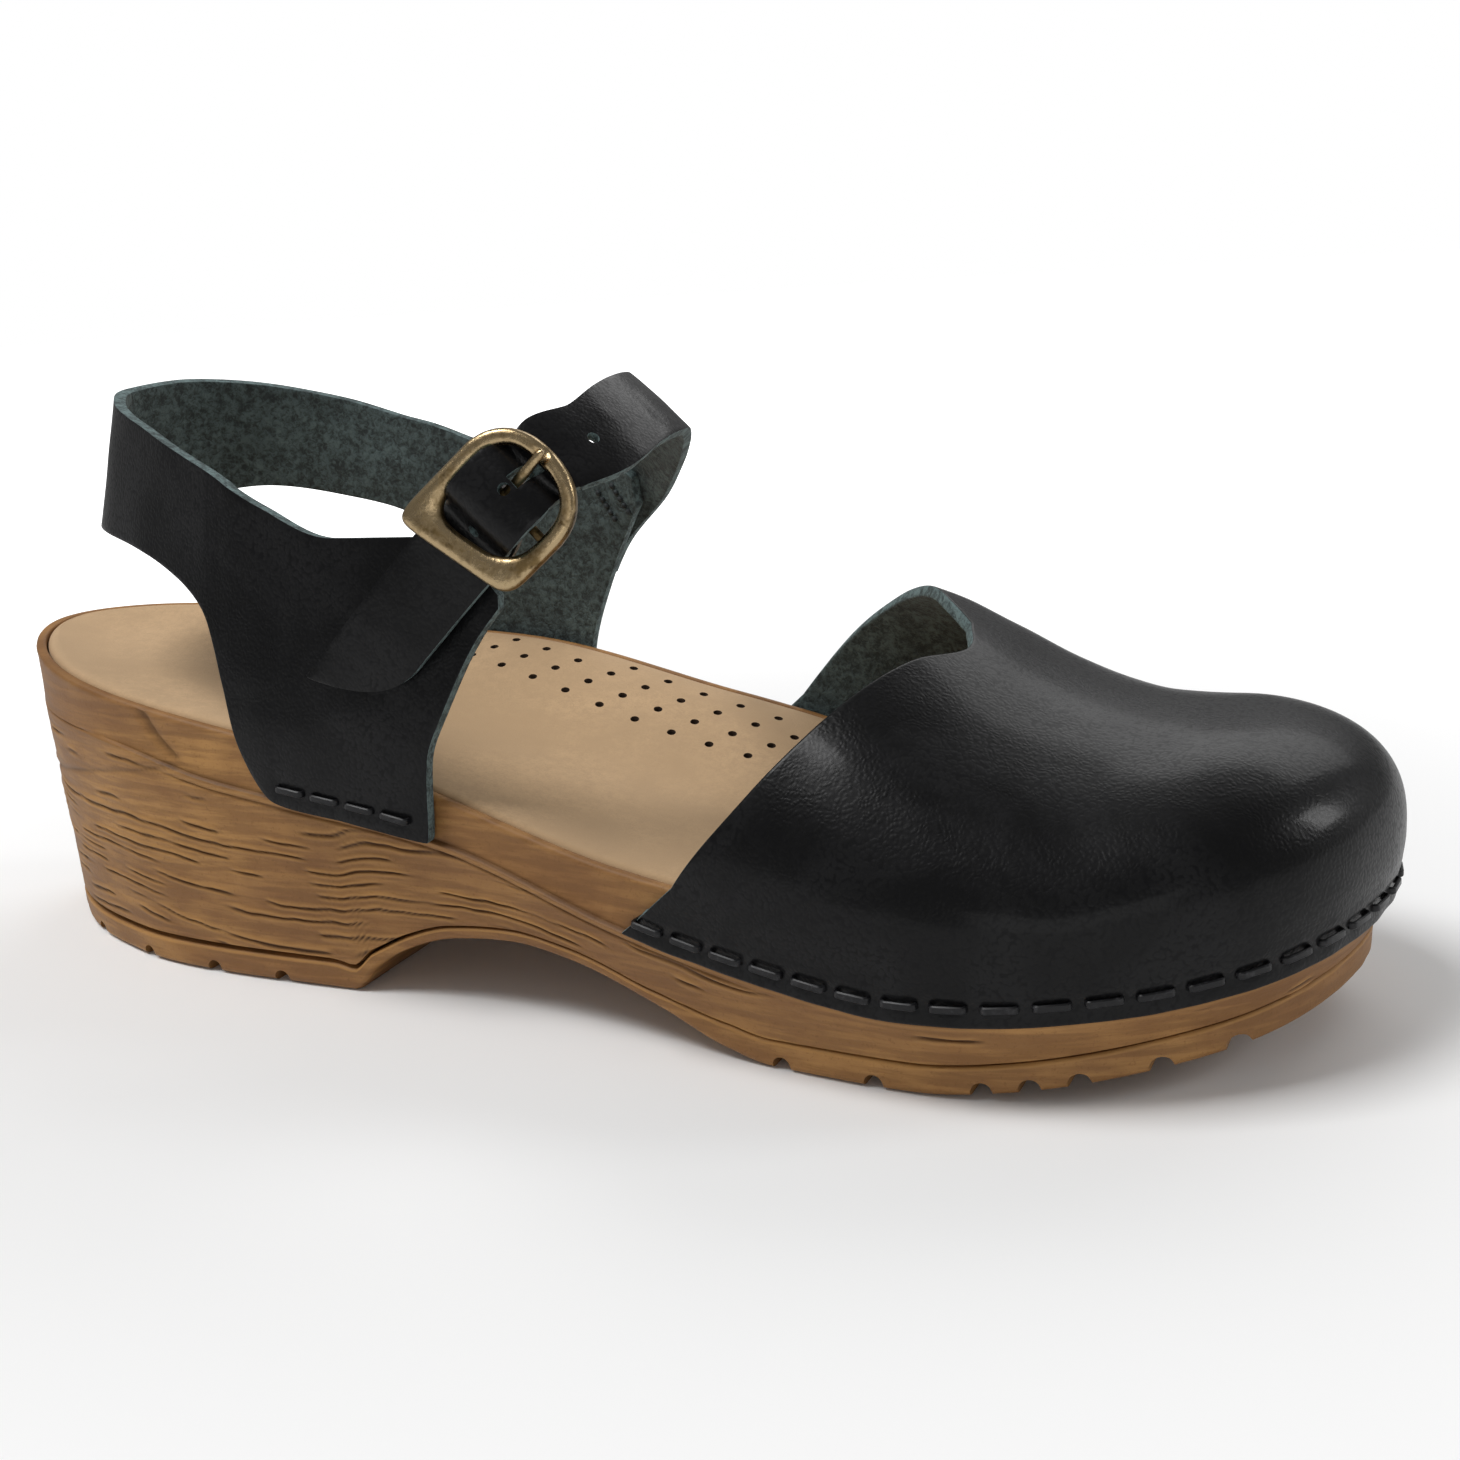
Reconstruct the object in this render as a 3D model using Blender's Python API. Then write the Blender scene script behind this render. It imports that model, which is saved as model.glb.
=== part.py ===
"""Wooden-look clog with a closed toe, a heel strap and a buckled ankle strap, right foot.

+X runs to the toe, +Y to the inner side of the foot, +Z up. Dimensions are in millimetres
and every mesh is written in metres.
"""
import math

import bmesh
import bpy
import numpy as np

MM = 0.001
GAP = 0.3
LEATHER = 2.2
STRAP_LEATHER = 2.0

# Top rim of the sole, seen from above: heel back, outer side, toe tip, inner side
HEEL_BACK = (0.0, 0.0)
TOE_TIP = (262.0, 8.3)
OUTER_RIM = ((12, -20.2), (40, -34.7), (80, -37.8), (120, -37.9), (160, -42.4),
             (190, -46.2), (215, -45.2), (240, -34.2), (255, -18.3))
INNER_RIM = ((255, 24.3), (235, 36.9), (205, 43.2), (175, 40.8), (140, 36.5),
             (100, 35.1), (60, 32.9), (30, 28.6), (8, 17.6))

# Heights along the length
RIM_HEIGHT = ((0, 59.1), (50, 51.9), (100, 43.1), (150, 30.3), (200, 25.6), (262, 28.0))
ARCH_RAISE = ((0, 0.0), (30, 1.3), (60, 2.2), (100, 6.1), (140, 7.4), (180, 1.8), (215, 0.0))
SEAT_LINE = ((0, 47.0), (40, 45.0), (66, 39.5), (82, 37.0), (113, 32.0), (150, 21.0),
             (175, 16.4), (200, 13.8), (232, 15.4), (262, 19.5))
GROUND_LINE = ((0, 0.0), (91, 0.0), (96, 5.0), (104, 9.5), (113, 12.2), (126, 13.2), (137, 11.8),
               (155, 6.4), (168, 1.5), (176, 0.0), (200, 0.0), (215, 1.3), (240, 5.0), (262, 9.2))
TREAD_THICKNESS = ((0, 5.2), (86, 5.2), (100, 2.4), (150, 2.4), (172, 5.0), (262, 5.2))
SOLE_STATIONS = 30
SEAT_STEP = 0.9
SIDE_TAPER = 3.0
BACK_TAPER = 2.6
TRAY_DEPTH = 3.6
RIM_WIDTH = 1.9
INSOCK_THICKNESS = 1.3
TREAD_GROOVES = (22, 41, 59, 75, 178, 194, 211, 218, 225, 236, 246)
GROOVE_WIDTH = 3.4
GROOVE_DEPTH = 2.4

# Closed toe: crown along its middle line, and the throat edge by level from foot to crown
CROWN_HEIGHT = ((150, 84.0), (180, 70.0), (190, 66.2), (200, 60.8), (210, 55.2), (219, 51.7),
                (227, 49.9), (236, 49.5), (250, 49.8), (270, 49.8))
CROWN_MIDDLE = ((150, 3.0), (200, 4.0), (236, 6.5), (270, 8.0))
THROAT_OUTER = ((0.0, 151.5), (0.2, 163.0), (0.4, 175.5), (0.6, 185.5), (0.8, 193.8),
                (0.92, 199.0), (1.0, 196.5))
THROAT_INNER = ((0.0, 139.0), (0.2, 150.5), (0.4, 162.0), (0.6, 174.0), (0.8, 184.5),
                (0.92, 190.5), (1.0, 196.5))
TOE_POLE_X = 236.0
TOE_BULGE = 1.2
TOE_FULLNESS = 0.25
UPPER_SIDE_COLUMNS = 12
UPPER_FAN_COLUMNS = 12
UPPER_LEVELS = 10

# Heel strap with both quarters, one strip of columns from the outer front corner round the
# heel to the inner front corner: x, y high on the ankle, x, y at the sole, lower and upper edge
QUARTER_COLUMNS = (
    (130.0, -33.4, 130.0, -39.6, 72.0, 74.2),
    (125.5, -33.7, 125.5, -39.9, 66.5, 79.0),
    (119.2, -34.0, 119.2, -40.2, 55.0, 82.4),
    (115.6, -34.1, 115.6, -40.4, 46.6, 83.2),
    (113.8, -34.2, 113.8, -40.5, 31.9, 83.4),
    (98.0, -34.6, 98.0, -41.1, 34.6, 83.2),
    (83.0, -34.0, 83.0, -41.0, 37.0, 88.3),
    (76.5, -33.4, 76.5, -40.4, 46.0, 91.2),
    (73.5, -32.7, 73.0, -40.0, 58.0, 92.6),
    (70.0, -31.8, 69.0, -39.4, 69.0, 94.0),
    (63.5, -29.6, 61.0, -37.6, 74.5, 96.0),
    (48.0, -23.2, 41.0, -31.6, 79.4, 100.4),
    (32.0, -13.6, 21.5, -19.4, 81.0, 104.0),
    (24.0, 0.0, 12.0, 0.0, 81.6, 105.6),
    (26.0, 12.4, 15.0, 15.4, 82.2, 106.0),
    (36.0, 23.8, 27.5, 28.2, 83.0, 104.4),
    (56.0, 31.2, 52.0, 35.0, 79.6, 99.6),
    (68.5, 33.2, 68.0, 36.4, 75.4, 95.6),
    (74.5, 33.7, 74.0, 36.8, 71.0, 94.0),
    (78.5, 34.0, 78.0, 37.0, 60.0, 92.6),
    (81.5, 34.2, 81.5, 37.2, 47.0, 91.4),
    (85.0, 34.3, 85.0, 37.9, 38.6, 90.2),
    (95.0, 34.2, 95.0, 38.4, 37.0, 88.6),
    (103.0, 33.9, 103.0, 38.6, 35.8, 88.0),
    (105.6, 33.7, 105.6, 38.6, 48.0, 88.0),
    (109.4, 33.3, 109.4, 38.5, 57.6, 87.9),
    (113.2, 32.7, 113.2, 38.6, 65.2, 87.4),
    (118.2, 31.5, 118.2, 38.8, 73.6, 85.6),
    (121.0, 30.6, 121.0, 38.9, 77.6, 83.4),
)
QUARTER_HIGH_Z = 95.0
QUARTER_LOW_Z = 49.0
QUARTER_STATIONS = 58

# Ankle strap
STRAP_HALF_WIDTH = 7.2
STRAP_PINCH = 1.5
STRAP_ACROSS = (0.731, 0.033, -0.682)
STRAP_OVER_INSTEP = ((144.0, -26.0, 97.4), (144.9, -17.0, 99.8), (144.0, -6.0, 100.8),
                     (140.7, 5.0, 99.6), (134.2, 16.8, 94.8), (126.6, 27.6, 88.8),
                     (119.2, 35.2, 82.6), (112.2, 38.2, 76.8), (107.4, 39.4, 71.4),
                     (104.0, 40.0, 66.0))
STRAP_TIP_PATH = ((99.6, -41.0, 55.8), (108.3, -40.5, 64.6), (115.2, -39.8, 71.7))
TIP_CURVE_LENGTH = 17.0

# Buckle: along runs from the straight side to the arch, across along the bar
BUCKLE_CENTRE = (134.2, -38.8, 90.1)
BUCKLE_ALONG = (0.690, 0.300, 0.659)
FRAME_HALF_WIDTH = 11.1
FRAME_STRAIGHT = -12.4
FRAME_ARCH = 11.2
FRAME_HALF_THICKNESS = 1.5
OPENING_HALF_WIDTH = 8.1
OPENING_STRAIGHT = -8.3
OPENING_ARCH = 8.5
BAR_ALONG = 0.3
BAR_HEIGHT = -0.7
BAR_RADIUS = 0.8
BAR_HALF_LENGTH = 9.3
PRONG_RADIUS = 0.8
PRONG_LIFT = 8.0
FRAME_ROCK = 3.0
STRAP_LOW_STRAIGHT = -3.6
STRAP_LOW_ARCH = -2.85
STRAP_OVER_BAR = 2.5
CHAPE_LEATHER = 0.9
CHAPE_HALF_WIDTH = 5.6

# Two sewn marks that fasten the ankle strap to the inner quarter
TACK_CENTRES = ((117.2, 34.9, 79.2), (113.6, 35.3, 77.6))
TACK_DIRECTION = (0.5, 0.06, -0.86)
TACK_THROUGH = (0.05, 0.985, 0.16)
TACK_LENGTH = 7.4
TACK_WIDTH = 0.9
TACK_DEPTH = 6.4

# Staples of flat black wire that hold the leather to the sole
STAPLE_CROWN = 5.2
STAPLE_WIRE_WIDTH = 1.2
STAPLE_WIRE_DEPTH = 0.7
STAPLE_LEG = 4.6
STAPLE_ABOVE_EDGE = 3.2
UPPER_STAPLES = 38
QUARTER_STAPLES = 4


def material(name, colour, roughness, metallic=0.0):
    made = bpy.data.materials.new(name)
    made.use_nodes = True
    shader = made.node_tree.nodes["Principled BSDF"]
    shader.inputs["Base Color"].default_value = (*colour, 1.0)
    shader.inputs["Roughness"].default_value = roughness
    shader.inputs["Metallic"].default_value = metallic
    return made


def add_mesh(name, points, faces, look):
    """Make one object from points in millimetres, welded and facing out."""
    mesh = bpy.data.meshes.new(name)
    shape = bmesh.new()
    corners = [shape.verts.new([c * MM for c in point]) for point in points]
    for face in faces:
        ring = list(dict.fromkeys(face))
        if len(ring) > 2:
            shape.faces.new([corners[i] for i in ring])
    bmesh.ops.remove_doubles(shape, verts=shape.verts, dist=0.00001)
    bmesh.ops.dissolve_degenerate(shape, edges=shape.edges, dist=0.000005)
    bmesh.ops.recalc_face_normals(shape, faces=shape.faces)
    shape.to_mesh(mesh)
    shape.free()
    mesh.materials.append(look)
    made = bpy.data.objects.new(name, mesh)
    bpy.context.scene.collection.objects.link(made)
    return made


def smooth_value(table, at):
    """Monotone cubic through a table of (position, value)."""
    xs = np.array([row[0] for row in table], float)
    ys = np.array([row[1] for row in table], float)
    at = np.clip(np.asarray(at, float), xs[0], xs[-1])
    steps = np.diff(xs)
    slopes = np.diff(ys) / steps
    lean = np.zeros(len(xs))
    lean[0] = slopes[0]
    lean[-1] = slopes[-1]
    for i in range(1, len(xs) - 1):
        if slopes[i - 1] * slopes[i] > 0:
            before = 2 * steps[i] + steps[i - 1]
            after = steps[i] + 2 * steps[i - 1]
            lean[i] = (before + after) / (before / slopes[i - 1] + after / slopes[i])
    k = np.clip(np.searchsorted(xs, at, side="right") - 1, 0, len(xs) - 2)
    t = (at - xs[k]) / steps[k]
    return (ys[k] * (1 + 2 * t) * (1 - t) ** 2 + lean[k] * steps[k] * t * (1 - t) ** 2
            + ys[k + 1] * t * t * (3 - 2 * t) + lean[k + 1] * steps[k] * t * t * (t - 1))


def unit(vector):
    vector = np.asarray(vector, float)
    return vector / np.linalg.norm(vector)


def smooth_step(value, low, high):
    t = np.clip((np.asarray(value, float) - low) / (high - low), 0.0, 1.0)
    return t * t * (3 - 2 * t)


def smooth_path(points, count, closed=False):
    """Cubic spline through points, sampled evenly along its length."""
    knots = np.array(points, float)
    if closed:
        knots = np.vstack([knots, knots[:1]])
    gaps = np.sqrt(np.linalg.norm(np.diff(knots, axis=0), axis=1))
    at = np.concatenate([[0.0], np.cumsum(gaps)])
    n = len(knots)
    steps = np.diff(at)
    system = np.zeros((n, n))
    right = np.zeros((n, knots.shape[1]))
    for i in range(1, n - 1):
        system[i, i - 1:i + 2] = (steps[i - 1], 2 * (steps[i - 1] + steps[i]), steps[i])
        right[i] = 6 * ((knots[i + 1] - knots[i]) / steps[i]
                        - (knots[i] - knots[i - 1]) / steps[i - 1])
    if closed:
        system[0, 0] = 2 * (steps[0] + steps[-1])
        system[0, 1] = steps[0]
        system[0, n - 2] = steps[-1]
        right[0] = 6 * ((knots[1] - knots[0]) / steps[0] - (knots[0] - knots[-2]) / steps[-1])
        system[n - 1, 0] = 1
        system[n - 1, n - 1] = -1
    else:
        system[0, 0] = 1
        system[n - 1, n - 1] = 1
    bend = np.linalg.solve(system, right)
    fine = np.linspace(0, at[-1], 2001)
    k = np.clip(np.searchsorted(at, fine, side="right") - 1, 0, n - 2)
    h = steps[k][:, None]
    left = (at[k + 1] - fine)[:, None]
    past = (fine - at[k])[:, None]
    curve = (bend[k] * left ** 3 / (6 * h) + bend[k + 1] * past ** 3 / (6 * h)
             + (knots[k] / h - bend[k] * h / 6) * left
             + (knots[k + 1] / h - bend[k + 1] * h / 6) * past)
    length = np.concatenate([[0.0], np.cumsum(np.linalg.norm(np.diff(curve, axis=0), axis=1))])
    wanted = np.linspace(0, length[-1], count)
    return np.stack([np.interp(wanted, length, curve[:, i]) for i in range(curve.shape[1])], 1)


def rim_sides():
    """Outer and inner half of the rim from heel to toe, with outward directions."""
    loop = smooth_path((HEEL_BACK, *OUTER_RIM, TOE_TIP, *INNER_RIM), 1601, closed=True)
    ahead = np.roll(loop[:-1], -1, axis=0) - np.roll(loop[:-1], 1, axis=0)
    out = np.stack([ahead[:, 1], -ahead[:, 0]], 1)
    out /= np.linalg.norm(out, axis=1)[:, None]
    loop = loop[:-1]
    toe = int(np.argmin(np.linalg.norm(loop - np.array(TOE_TIP), axis=1)))
    outer = np.arange(0, toe + 1)
    inner = np.concatenate([[0], np.arange(len(loop) - 1, toe - 1, -1)])
    return (loop[outer], out[outer]), (loop[inner], out[inner])


OUTER_SIDE, INNER_SIDE = rim_sides()


def side_point(side, x):
    """Rim point and outward direction where one side reaches x."""
    line, out = side
    order = np.argsort(line[:, 0])
    point = np.array([x, np.interp(x, line[order, 0], line[order, 1])])
    direction = np.array([np.interp(x, line[order, 0], out[order, i]) for i in (0, 1)])
    return point, direction / np.linalg.norm(direction)


def stations(side, count):
    """Evenly spaced points along one side, closer together round the toe and heel."""
    line, out = side
    length = np.concatenate([[0], np.cumsum(np.linalg.norm(np.diff(line, axis=0), axis=1))])
    share = np.linspace(0, 1, count + 1)
    share = share - 0.07 * np.sin(2 * math.pi * share) / math.pi
    wanted = share * length[-1]
    point = np.stack([np.interp(wanted, length, line[:, i]) for i in (0, 1)], 1)
    direction = np.stack([np.interp(wanted, length, out[:, i]) for i in (0, 1)], 1)
    return point, direction / np.linalg.norm(direction, axis=1)[:, None]


def arch_raise(x, y):
    """How far the inner side stands above the outer one."""
    return smooth_value(ARCH_RAISE, x) * smooth_step(y, -8.0, 30.0)


def rim_height(x, y):
    return smooth_value(RIM_HEIGHT, x) + arch_raise(x, y)


def seat_height(x, y):
    """Height of the line that the leather's lower edge follows."""
    return smooth_value(SEAT_LINE, x) + 0.6 * arch_raise(x, y)


def bed_dish(x, across):
    """Hollow of the footbed; across runs from -1 at one rim to 1 at the other."""
    return 2.2 * (1 - across ** 2) * (1 - 0.6 * smooth_step(x, 60.0, 150.0))


def bed_height(x, y, across):
    """Top of the insock."""
    pad = 1.2 * smooth_step(x, 120.0, 165.0) * (1 - across ** 2)
    return rim_height(x, y) + 0.5 - bed_dish(x, across) + pad


def ring(outset, height, count=SOLE_STATIONS):
    """Closed ring round the sole; outset and height are functions of rim point and direction."""
    rows = []
    for side, direction in ((OUTER_SIDE, 1), (INNER_SIDE, -1)):
        point, out = stations(side, count)
        shift = np.array([outset(p, o) for p, o in zip(point, out)])
        place = point + out * shift[:, None]
        full = [(x, y, height(x, y)) for x, y in place]
        rows.extend(full[:-1] if direction > 0 else full[:0:-1])
    return rows


def cap(last_ring, height, columns=5):
    """Ladder of rows across a ring from heel to toe: inner points and faces."""
    count = len(last_ring)
    half = count // 2
    points = []
    rows = [[0] * (columns + 1)]
    for i in range(1, half):
        left = last_ring[i]
        right = last_ring[count - i]
        row = [i]
        for j in range(1, columns):
            t = j / columns
            x = left[0] + (right[0] - left[0]) * t
            y = left[1] + (right[1] - left[1]) * t
            row.append(count + len(points))
            points.append((x, y, height(x, y, 2 * t - 1)))
        row.append(count - i)
        rows.append(row)
    rows.append([half] * (columns + 1))
    faces = []
    for upper, lower in zip(rows, rows[1:]):
        for j in range(columns):
            faces.append((upper[j], lower[j], lower[j + 1], upper[j + 1]))
    return points, faces


def stacked_rings(rings, first_cap, last_cap):
    """Solid from rings joined in order, closed by a cap at each end."""
    count = len(rings[0])
    points = [p for one in rings for p in one]
    faces = []
    for k in range(len(rings) - 1):
        for i in range(count):
            j = (i + 1) % count
            faces.append((k * count + i, k * count + j, (k + 1) * count + j, (k + 1) * count + i))
    for base, height in ((0, first_cap), (len(rings) - 1, last_cap)):
        extra, cap_faces = cap(rings[base], height)
        offset = len(points)
        for face in cap_faces:
            faces.append([base * count + i if i < count else offset + i - count for i in face])
        points.extend(extra)
    return points, faces


def base_shift(share):
    """Inward lean of the sole's side, share 0 at the seat line and 1 at the ground."""
    def shift(_point, out):
        side = SIDE_TAPER * out[1] ** 2
        back = BACK_TAPER * max(0.0, -out[0]) ** 2
        toe = 2.0 * max(0.0, out[0]) ** 2
        return step_out(_point, out) - (side + back + toe) * share
    return shift


def step_out(point, _out):
    return float(SEAT_STEP * smooth_step(point[0], 30.0, 48.0))


def flat_out(distance):
    return lambda _point, _out: distance


def side_height(share):
    def height(x, y):
        top = seat_height(x, y) - 0.6
        foot = smooth_value(GROUND_LINE, x) + smooth_value(TREAD_THICKNESS, x)
        return float(top + (foot - top) * share)
    return height


def make_sole_body(look):
    def tray(x, y, across=1.0):
        return float(rim_height(x, y) - TRAY_DEPTH - bed_dish(x, across))

    def under(x, _y, _across=0.0):
        return float(smooth_value(GROUND_LINE, x) + smooth_value(TREAD_THICKNESS, x) + GAP)
    rings = [
        ring(flat_out(-RIM_WIDTH), tray),
        ring(flat_out(-RIM_WIDTH), lambda x, y: float(rim_height(x, y))),
        ring(flat_out(-0.5), lambda x, y: float(rim_height(x, y))),
        ring(flat_out(0.0), lambda x, y: float(rim_height(x, y) - 0.6)),
        ring(flat_out(0.0), lambda x, y: float(seat_height(x, y) - 0.3)),
        ring(step_out, lambda x, y: float(seat_height(x, y) - 0.7)),
        ring(base_shift(0.5), side_height(0.5)),
        ring(base_shift(0.97), lambda x, y: float(under(x, y) + 0.1)),
    ]
    return add_mesh("sole_body", *stacked_rings(rings, tray, under), look)


def make_outsole(look):
    def top(x, _y, _across=0.0):
        return float(smooth_value(GROUND_LINE, x) + smooth_value(TREAD_THICKNESS, x))

    def ground(x, _y, _across=0.0):
        return float(smooth_value(GROUND_LINE, x))
    rings = [
        ring(base_shift(0.97), top),
        ring(base_shift(1.0), lambda x, y: ground(x, y) + 1.2),
        ring(lambda p, o: base_shift(1.0)(p, o) - 1.6, ground),
    ]
    return add_mesh("outsole", *stacked_rings(rings, top, ground), look)


def make_tread_cutter(look):
    points = []
    faces = []
    for x in TREAD_GROOVES:
        level = float(smooth_value(GROUND_LINE, x))
        base = len(points)
        for y in (-70.0, 70.0):
            points.extend([(x - 0.5 * GROOVE_WIDTH - 0.5, y, level - 3.0),
                           (x + 0.5 * GROOVE_WIDTH + 0.5, y, level - 3.0),
                           (x + 0.28 * GROOVE_WIDTH, y, level + GROOVE_DEPTH),
                           (x - 0.28 * GROOVE_WIDTH, y, level + GROOVE_DEPTH)])
        faces.extend(box_faces(base))
    return add_mesh("tread_cutter", points, faces, look)


def box_faces(base):
    return [(base, base + 1, base + 2, base + 3), (base + 7, base + 6, base + 5, base + 4),
            (base, base + 4, base + 5, base + 1), (base + 1, base + 5, base + 6, base + 2),
            (base + 2, base + 6, base + 7, base + 3), (base + 3, base + 7, base + 4, base)]


def make_footbed_core(look):
    inset = -(RIM_WIDTH + GAP + INSOCK_THICKNESS + 2 * GAP)

    def bottom(x, y, across=1.0):
        return float(rim_height(x, y) - TRAY_DEPTH + GAP - bed_dish(x, across))

    def top(x, y, across=0.0):
        return float(bed_height(x, y, across) - INSOCK_THICKNESS - 3.4 * GAP)
    rings = [
        ring(flat_out(inset), bottom),
        ring(flat_out(inset), lambda x, y: float(rim_height(x, y) - 2.8)),
        ring(flat_out(inset - 1.0), lambda x, y: float(rim_height(x, y) - 2.4)),
    ]
    return add_mesh("footbed_core", *stacked_rings(rings, bottom, top), look)


def make_insock_cover(look):
    edge = -(RIM_WIDTH + GAP)
    inner = edge - INSOCK_THICKNESS

    def floor(x, y):
        return float(rim_height(x, y) - TRAY_DEPTH + GAP)
    rings = [
        ring(flat_out(inner - 1.0), lambda x, y: float(rim_height(x, y) + 0.2 - INSOCK_THICKNESS)),
        ring(flat_out(inner), lambda x, y: float(rim_height(x, y) - 0.9 - INSOCK_THICKNESS)),
        ring(flat_out(inner), floor),
        ring(flat_out(edge), floor),
        ring(flat_out(edge), lambda x, y: float(rim_height(x, y) - 0.9)),
        ring(flat_out(edge - 1.0), lambda x, y: float(rim_height(x, y) + 0.2)),
    ]

    def under(x, y, across):
        return float(bed_height(x, y, across) - INSOCK_THICKNESS)

    def top(x, y, across):
        return float(bed_height(x, y, across))
    return add_mesh("insock_cover", *stacked_rings(rings, under, top), look)


def upper_point(foot, out, crown, level):
    """Outer face of the closed toe; level 0 at its lower edge, 1 at the crown."""
    base = foot + out * (GAP + LEATHER)
    low = float(seat_height(*foot))
    rim = float(rim_height(*foot)) + 2.0
    bulge = out * TOE_BULGE
    if level < 0.2:
        t = level / 0.2
        return (*(base + bulge * t * t), low + (rim - low) * t)
    turn = (level - 0.2) / 0.8 * math.pi / 2
    round_toe = 1.0 - TOE_FULLNESS * float(smooth_step(foot[0], 218.0, 252.0))
    plan = base + bulge + (crown - base - bulge) * (1 - math.cos(turn) ** round_toe)
    top = max(float(smooth_value(CROWN_HEIGHT, plan[0])), rim + 5.0)
    return (*plan, rim + (top - rim) * math.sin(turn) ** round_toe)


def crown_point(x):
    return np.array((x, float(smooth_value(CROWN_MIDDLE, x))))


def upper_side_column(side, throat, share, levels):
    """One column of the toe's side, share 0 at the throat edge and 1 at the pole."""
    column = []
    for level in levels:
        start = float(smooth_value(throat, level))
        x = start + (TOE_POLE_X - start) * share
        foot, out = side_point(side, x)
        column.append(upper_point(foot, out, crown_point(x), level))
    return column


def upper_fan_columns(side, levels):
    """Columns round the front of the toe, from beside the pole to the tip."""
    line, out = side
    part = line[:, 0] > TOE_POLE_X
    line = line[part]
    out = out[part]
    length = np.concatenate([[0], np.cumsum(np.linalg.norm(np.diff(line, axis=0), axis=1))])
    columns = []
    for share in np.linspace(0, 1, UPPER_FAN_COLUMNS // 2 + 1)[1:]:
        at = share * length[-1]
        foot = np.array([np.interp(at, length, line[:, i]) for i in (0, 1)])
        direction = unit([np.interp(at, length, out[:, i]) for i in (0, 1)])
        columns.append([upper_point(foot, direction, crown_point(TOE_POLE_X), level)
                        for level in levels])
    return columns


def upper_grid():
    """All columns from the outer throat edge round the toe to the inner throat edge."""
    levels = np.linspace(0, 1, UPPER_LEVELS + 1)
    shares = np.linspace(0, 1, UPPER_SIDE_COLUMNS + 1)
    grid = [upper_side_column(OUTER_SIDE, THROAT_OUTER, share, levels) for share in shares]
    grid.extend(upper_fan_columns(OUTER_SIDE, levels))
    grid.extend(upper_fan_columns(INNER_SIDE, levels)[-2::-1])
    grid.extend(upper_side_column(INNER_SIDE, THROAT_INNER, share, levels)
                for share in shares[::-1])
    return grid


def skin(grid):
    """Points and faces of an open grid of rows."""
    rows = len(grid)
    width = len(grid[0])
    points = [p for row in grid for p in row]
    faces = []
    for i in range(rows - 1):
        for j in range(width - 1):
            faces.append((i * width + j, i * width + j + 1, (i + 1) * width + j + 1,
                          (i + 1) * width + j))
    return points, faces


def thicken(made, thickness):
    """Give an open skin its leather thickness on the inner side."""
    solid = made.modifiers.new("leather", "SOLIDIFY")
    solid.thickness = thickness * MM
    solid.offset = -1.0
    solid.use_even_offset = True


def make_vamp(look):
    made = add_mesh("vamp", *skin(upper_grid()), look)
    face_away(made, (200.0, 0.0, 30.0))
    thicken(made, LEATHER)
    return made


def face_away(made, centre):
    """Turn an open skin so that its faces look away from a point inside it."""
    middle = np.array(centre) * MM
    shape = bmesh.new()
    shape.from_mesh(made.data)
    away = sum(f.calc_area() * (np.array(f.calc_center_median()) - middle) @ np.array(f.normal)
               for f in shape.faces)
    if away < 0:
        bmesh.ops.reverse_faces(shape, faces=shape.faces)
    shape.to_mesh(made.data)
    shape.free()


def quarter_columns(count):
    """Evenly spaced columns of the heel strap and quarters."""
    table = np.array(QUARTER_COLUMNS, float)
    weight = np.array([1.0, 1.0, 0.3, 0.3, 0.6, 0.3])
    gaps = np.linalg.norm(np.diff(table * weight, axis=0), axis=1)
    at = np.concatenate([[0.0], np.cumsum(gaps)])
    wanted = np.linspace(0, at[-1], count)
    return np.stack([smooth_value(tuple(zip(at, table[:, i])), wanted) for i in range(6)], 1)


def quarter_point(column, share):
    high_x, high_y, low_x, low_y, low, high = column
    z = low + (high - low) * share
    t = max(0.0, (z - QUARTER_LOW_Z) / (QUARTER_HIGH_Z - QUARTER_LOW_Z))
    return (low_x + (high_x - low_x) * t, low_y + (high_y - low_y) * t, z)


def make_heel_quarter(look):
    columns = quarter_columns(QUARTER_STATIONS)
    grid = [[quarter_point(column, share) for share in np.linspace(0, 1, 5)]
            for column in columns]
    made = add_mesh("heel_quarter", *skin(grid), look)
    face_away(made, (70.0, 0.0, 70.0))
    thicken(made, LEATHER)
    return made


ALONG = unit(BUCKLE_ALONG)
ACROSS = unit(np.array(STRAP_ACROSS) - ALONG * (np.array(STRAP_ACROSS) @ ALONG))
OUT = np.cross(ACROSS, ALONG)


def buckle_point(along, across, out):
    return np.array(BUCKLE_CENTRE) + ALONG * along + ACROSS * across + OUT * out


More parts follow.
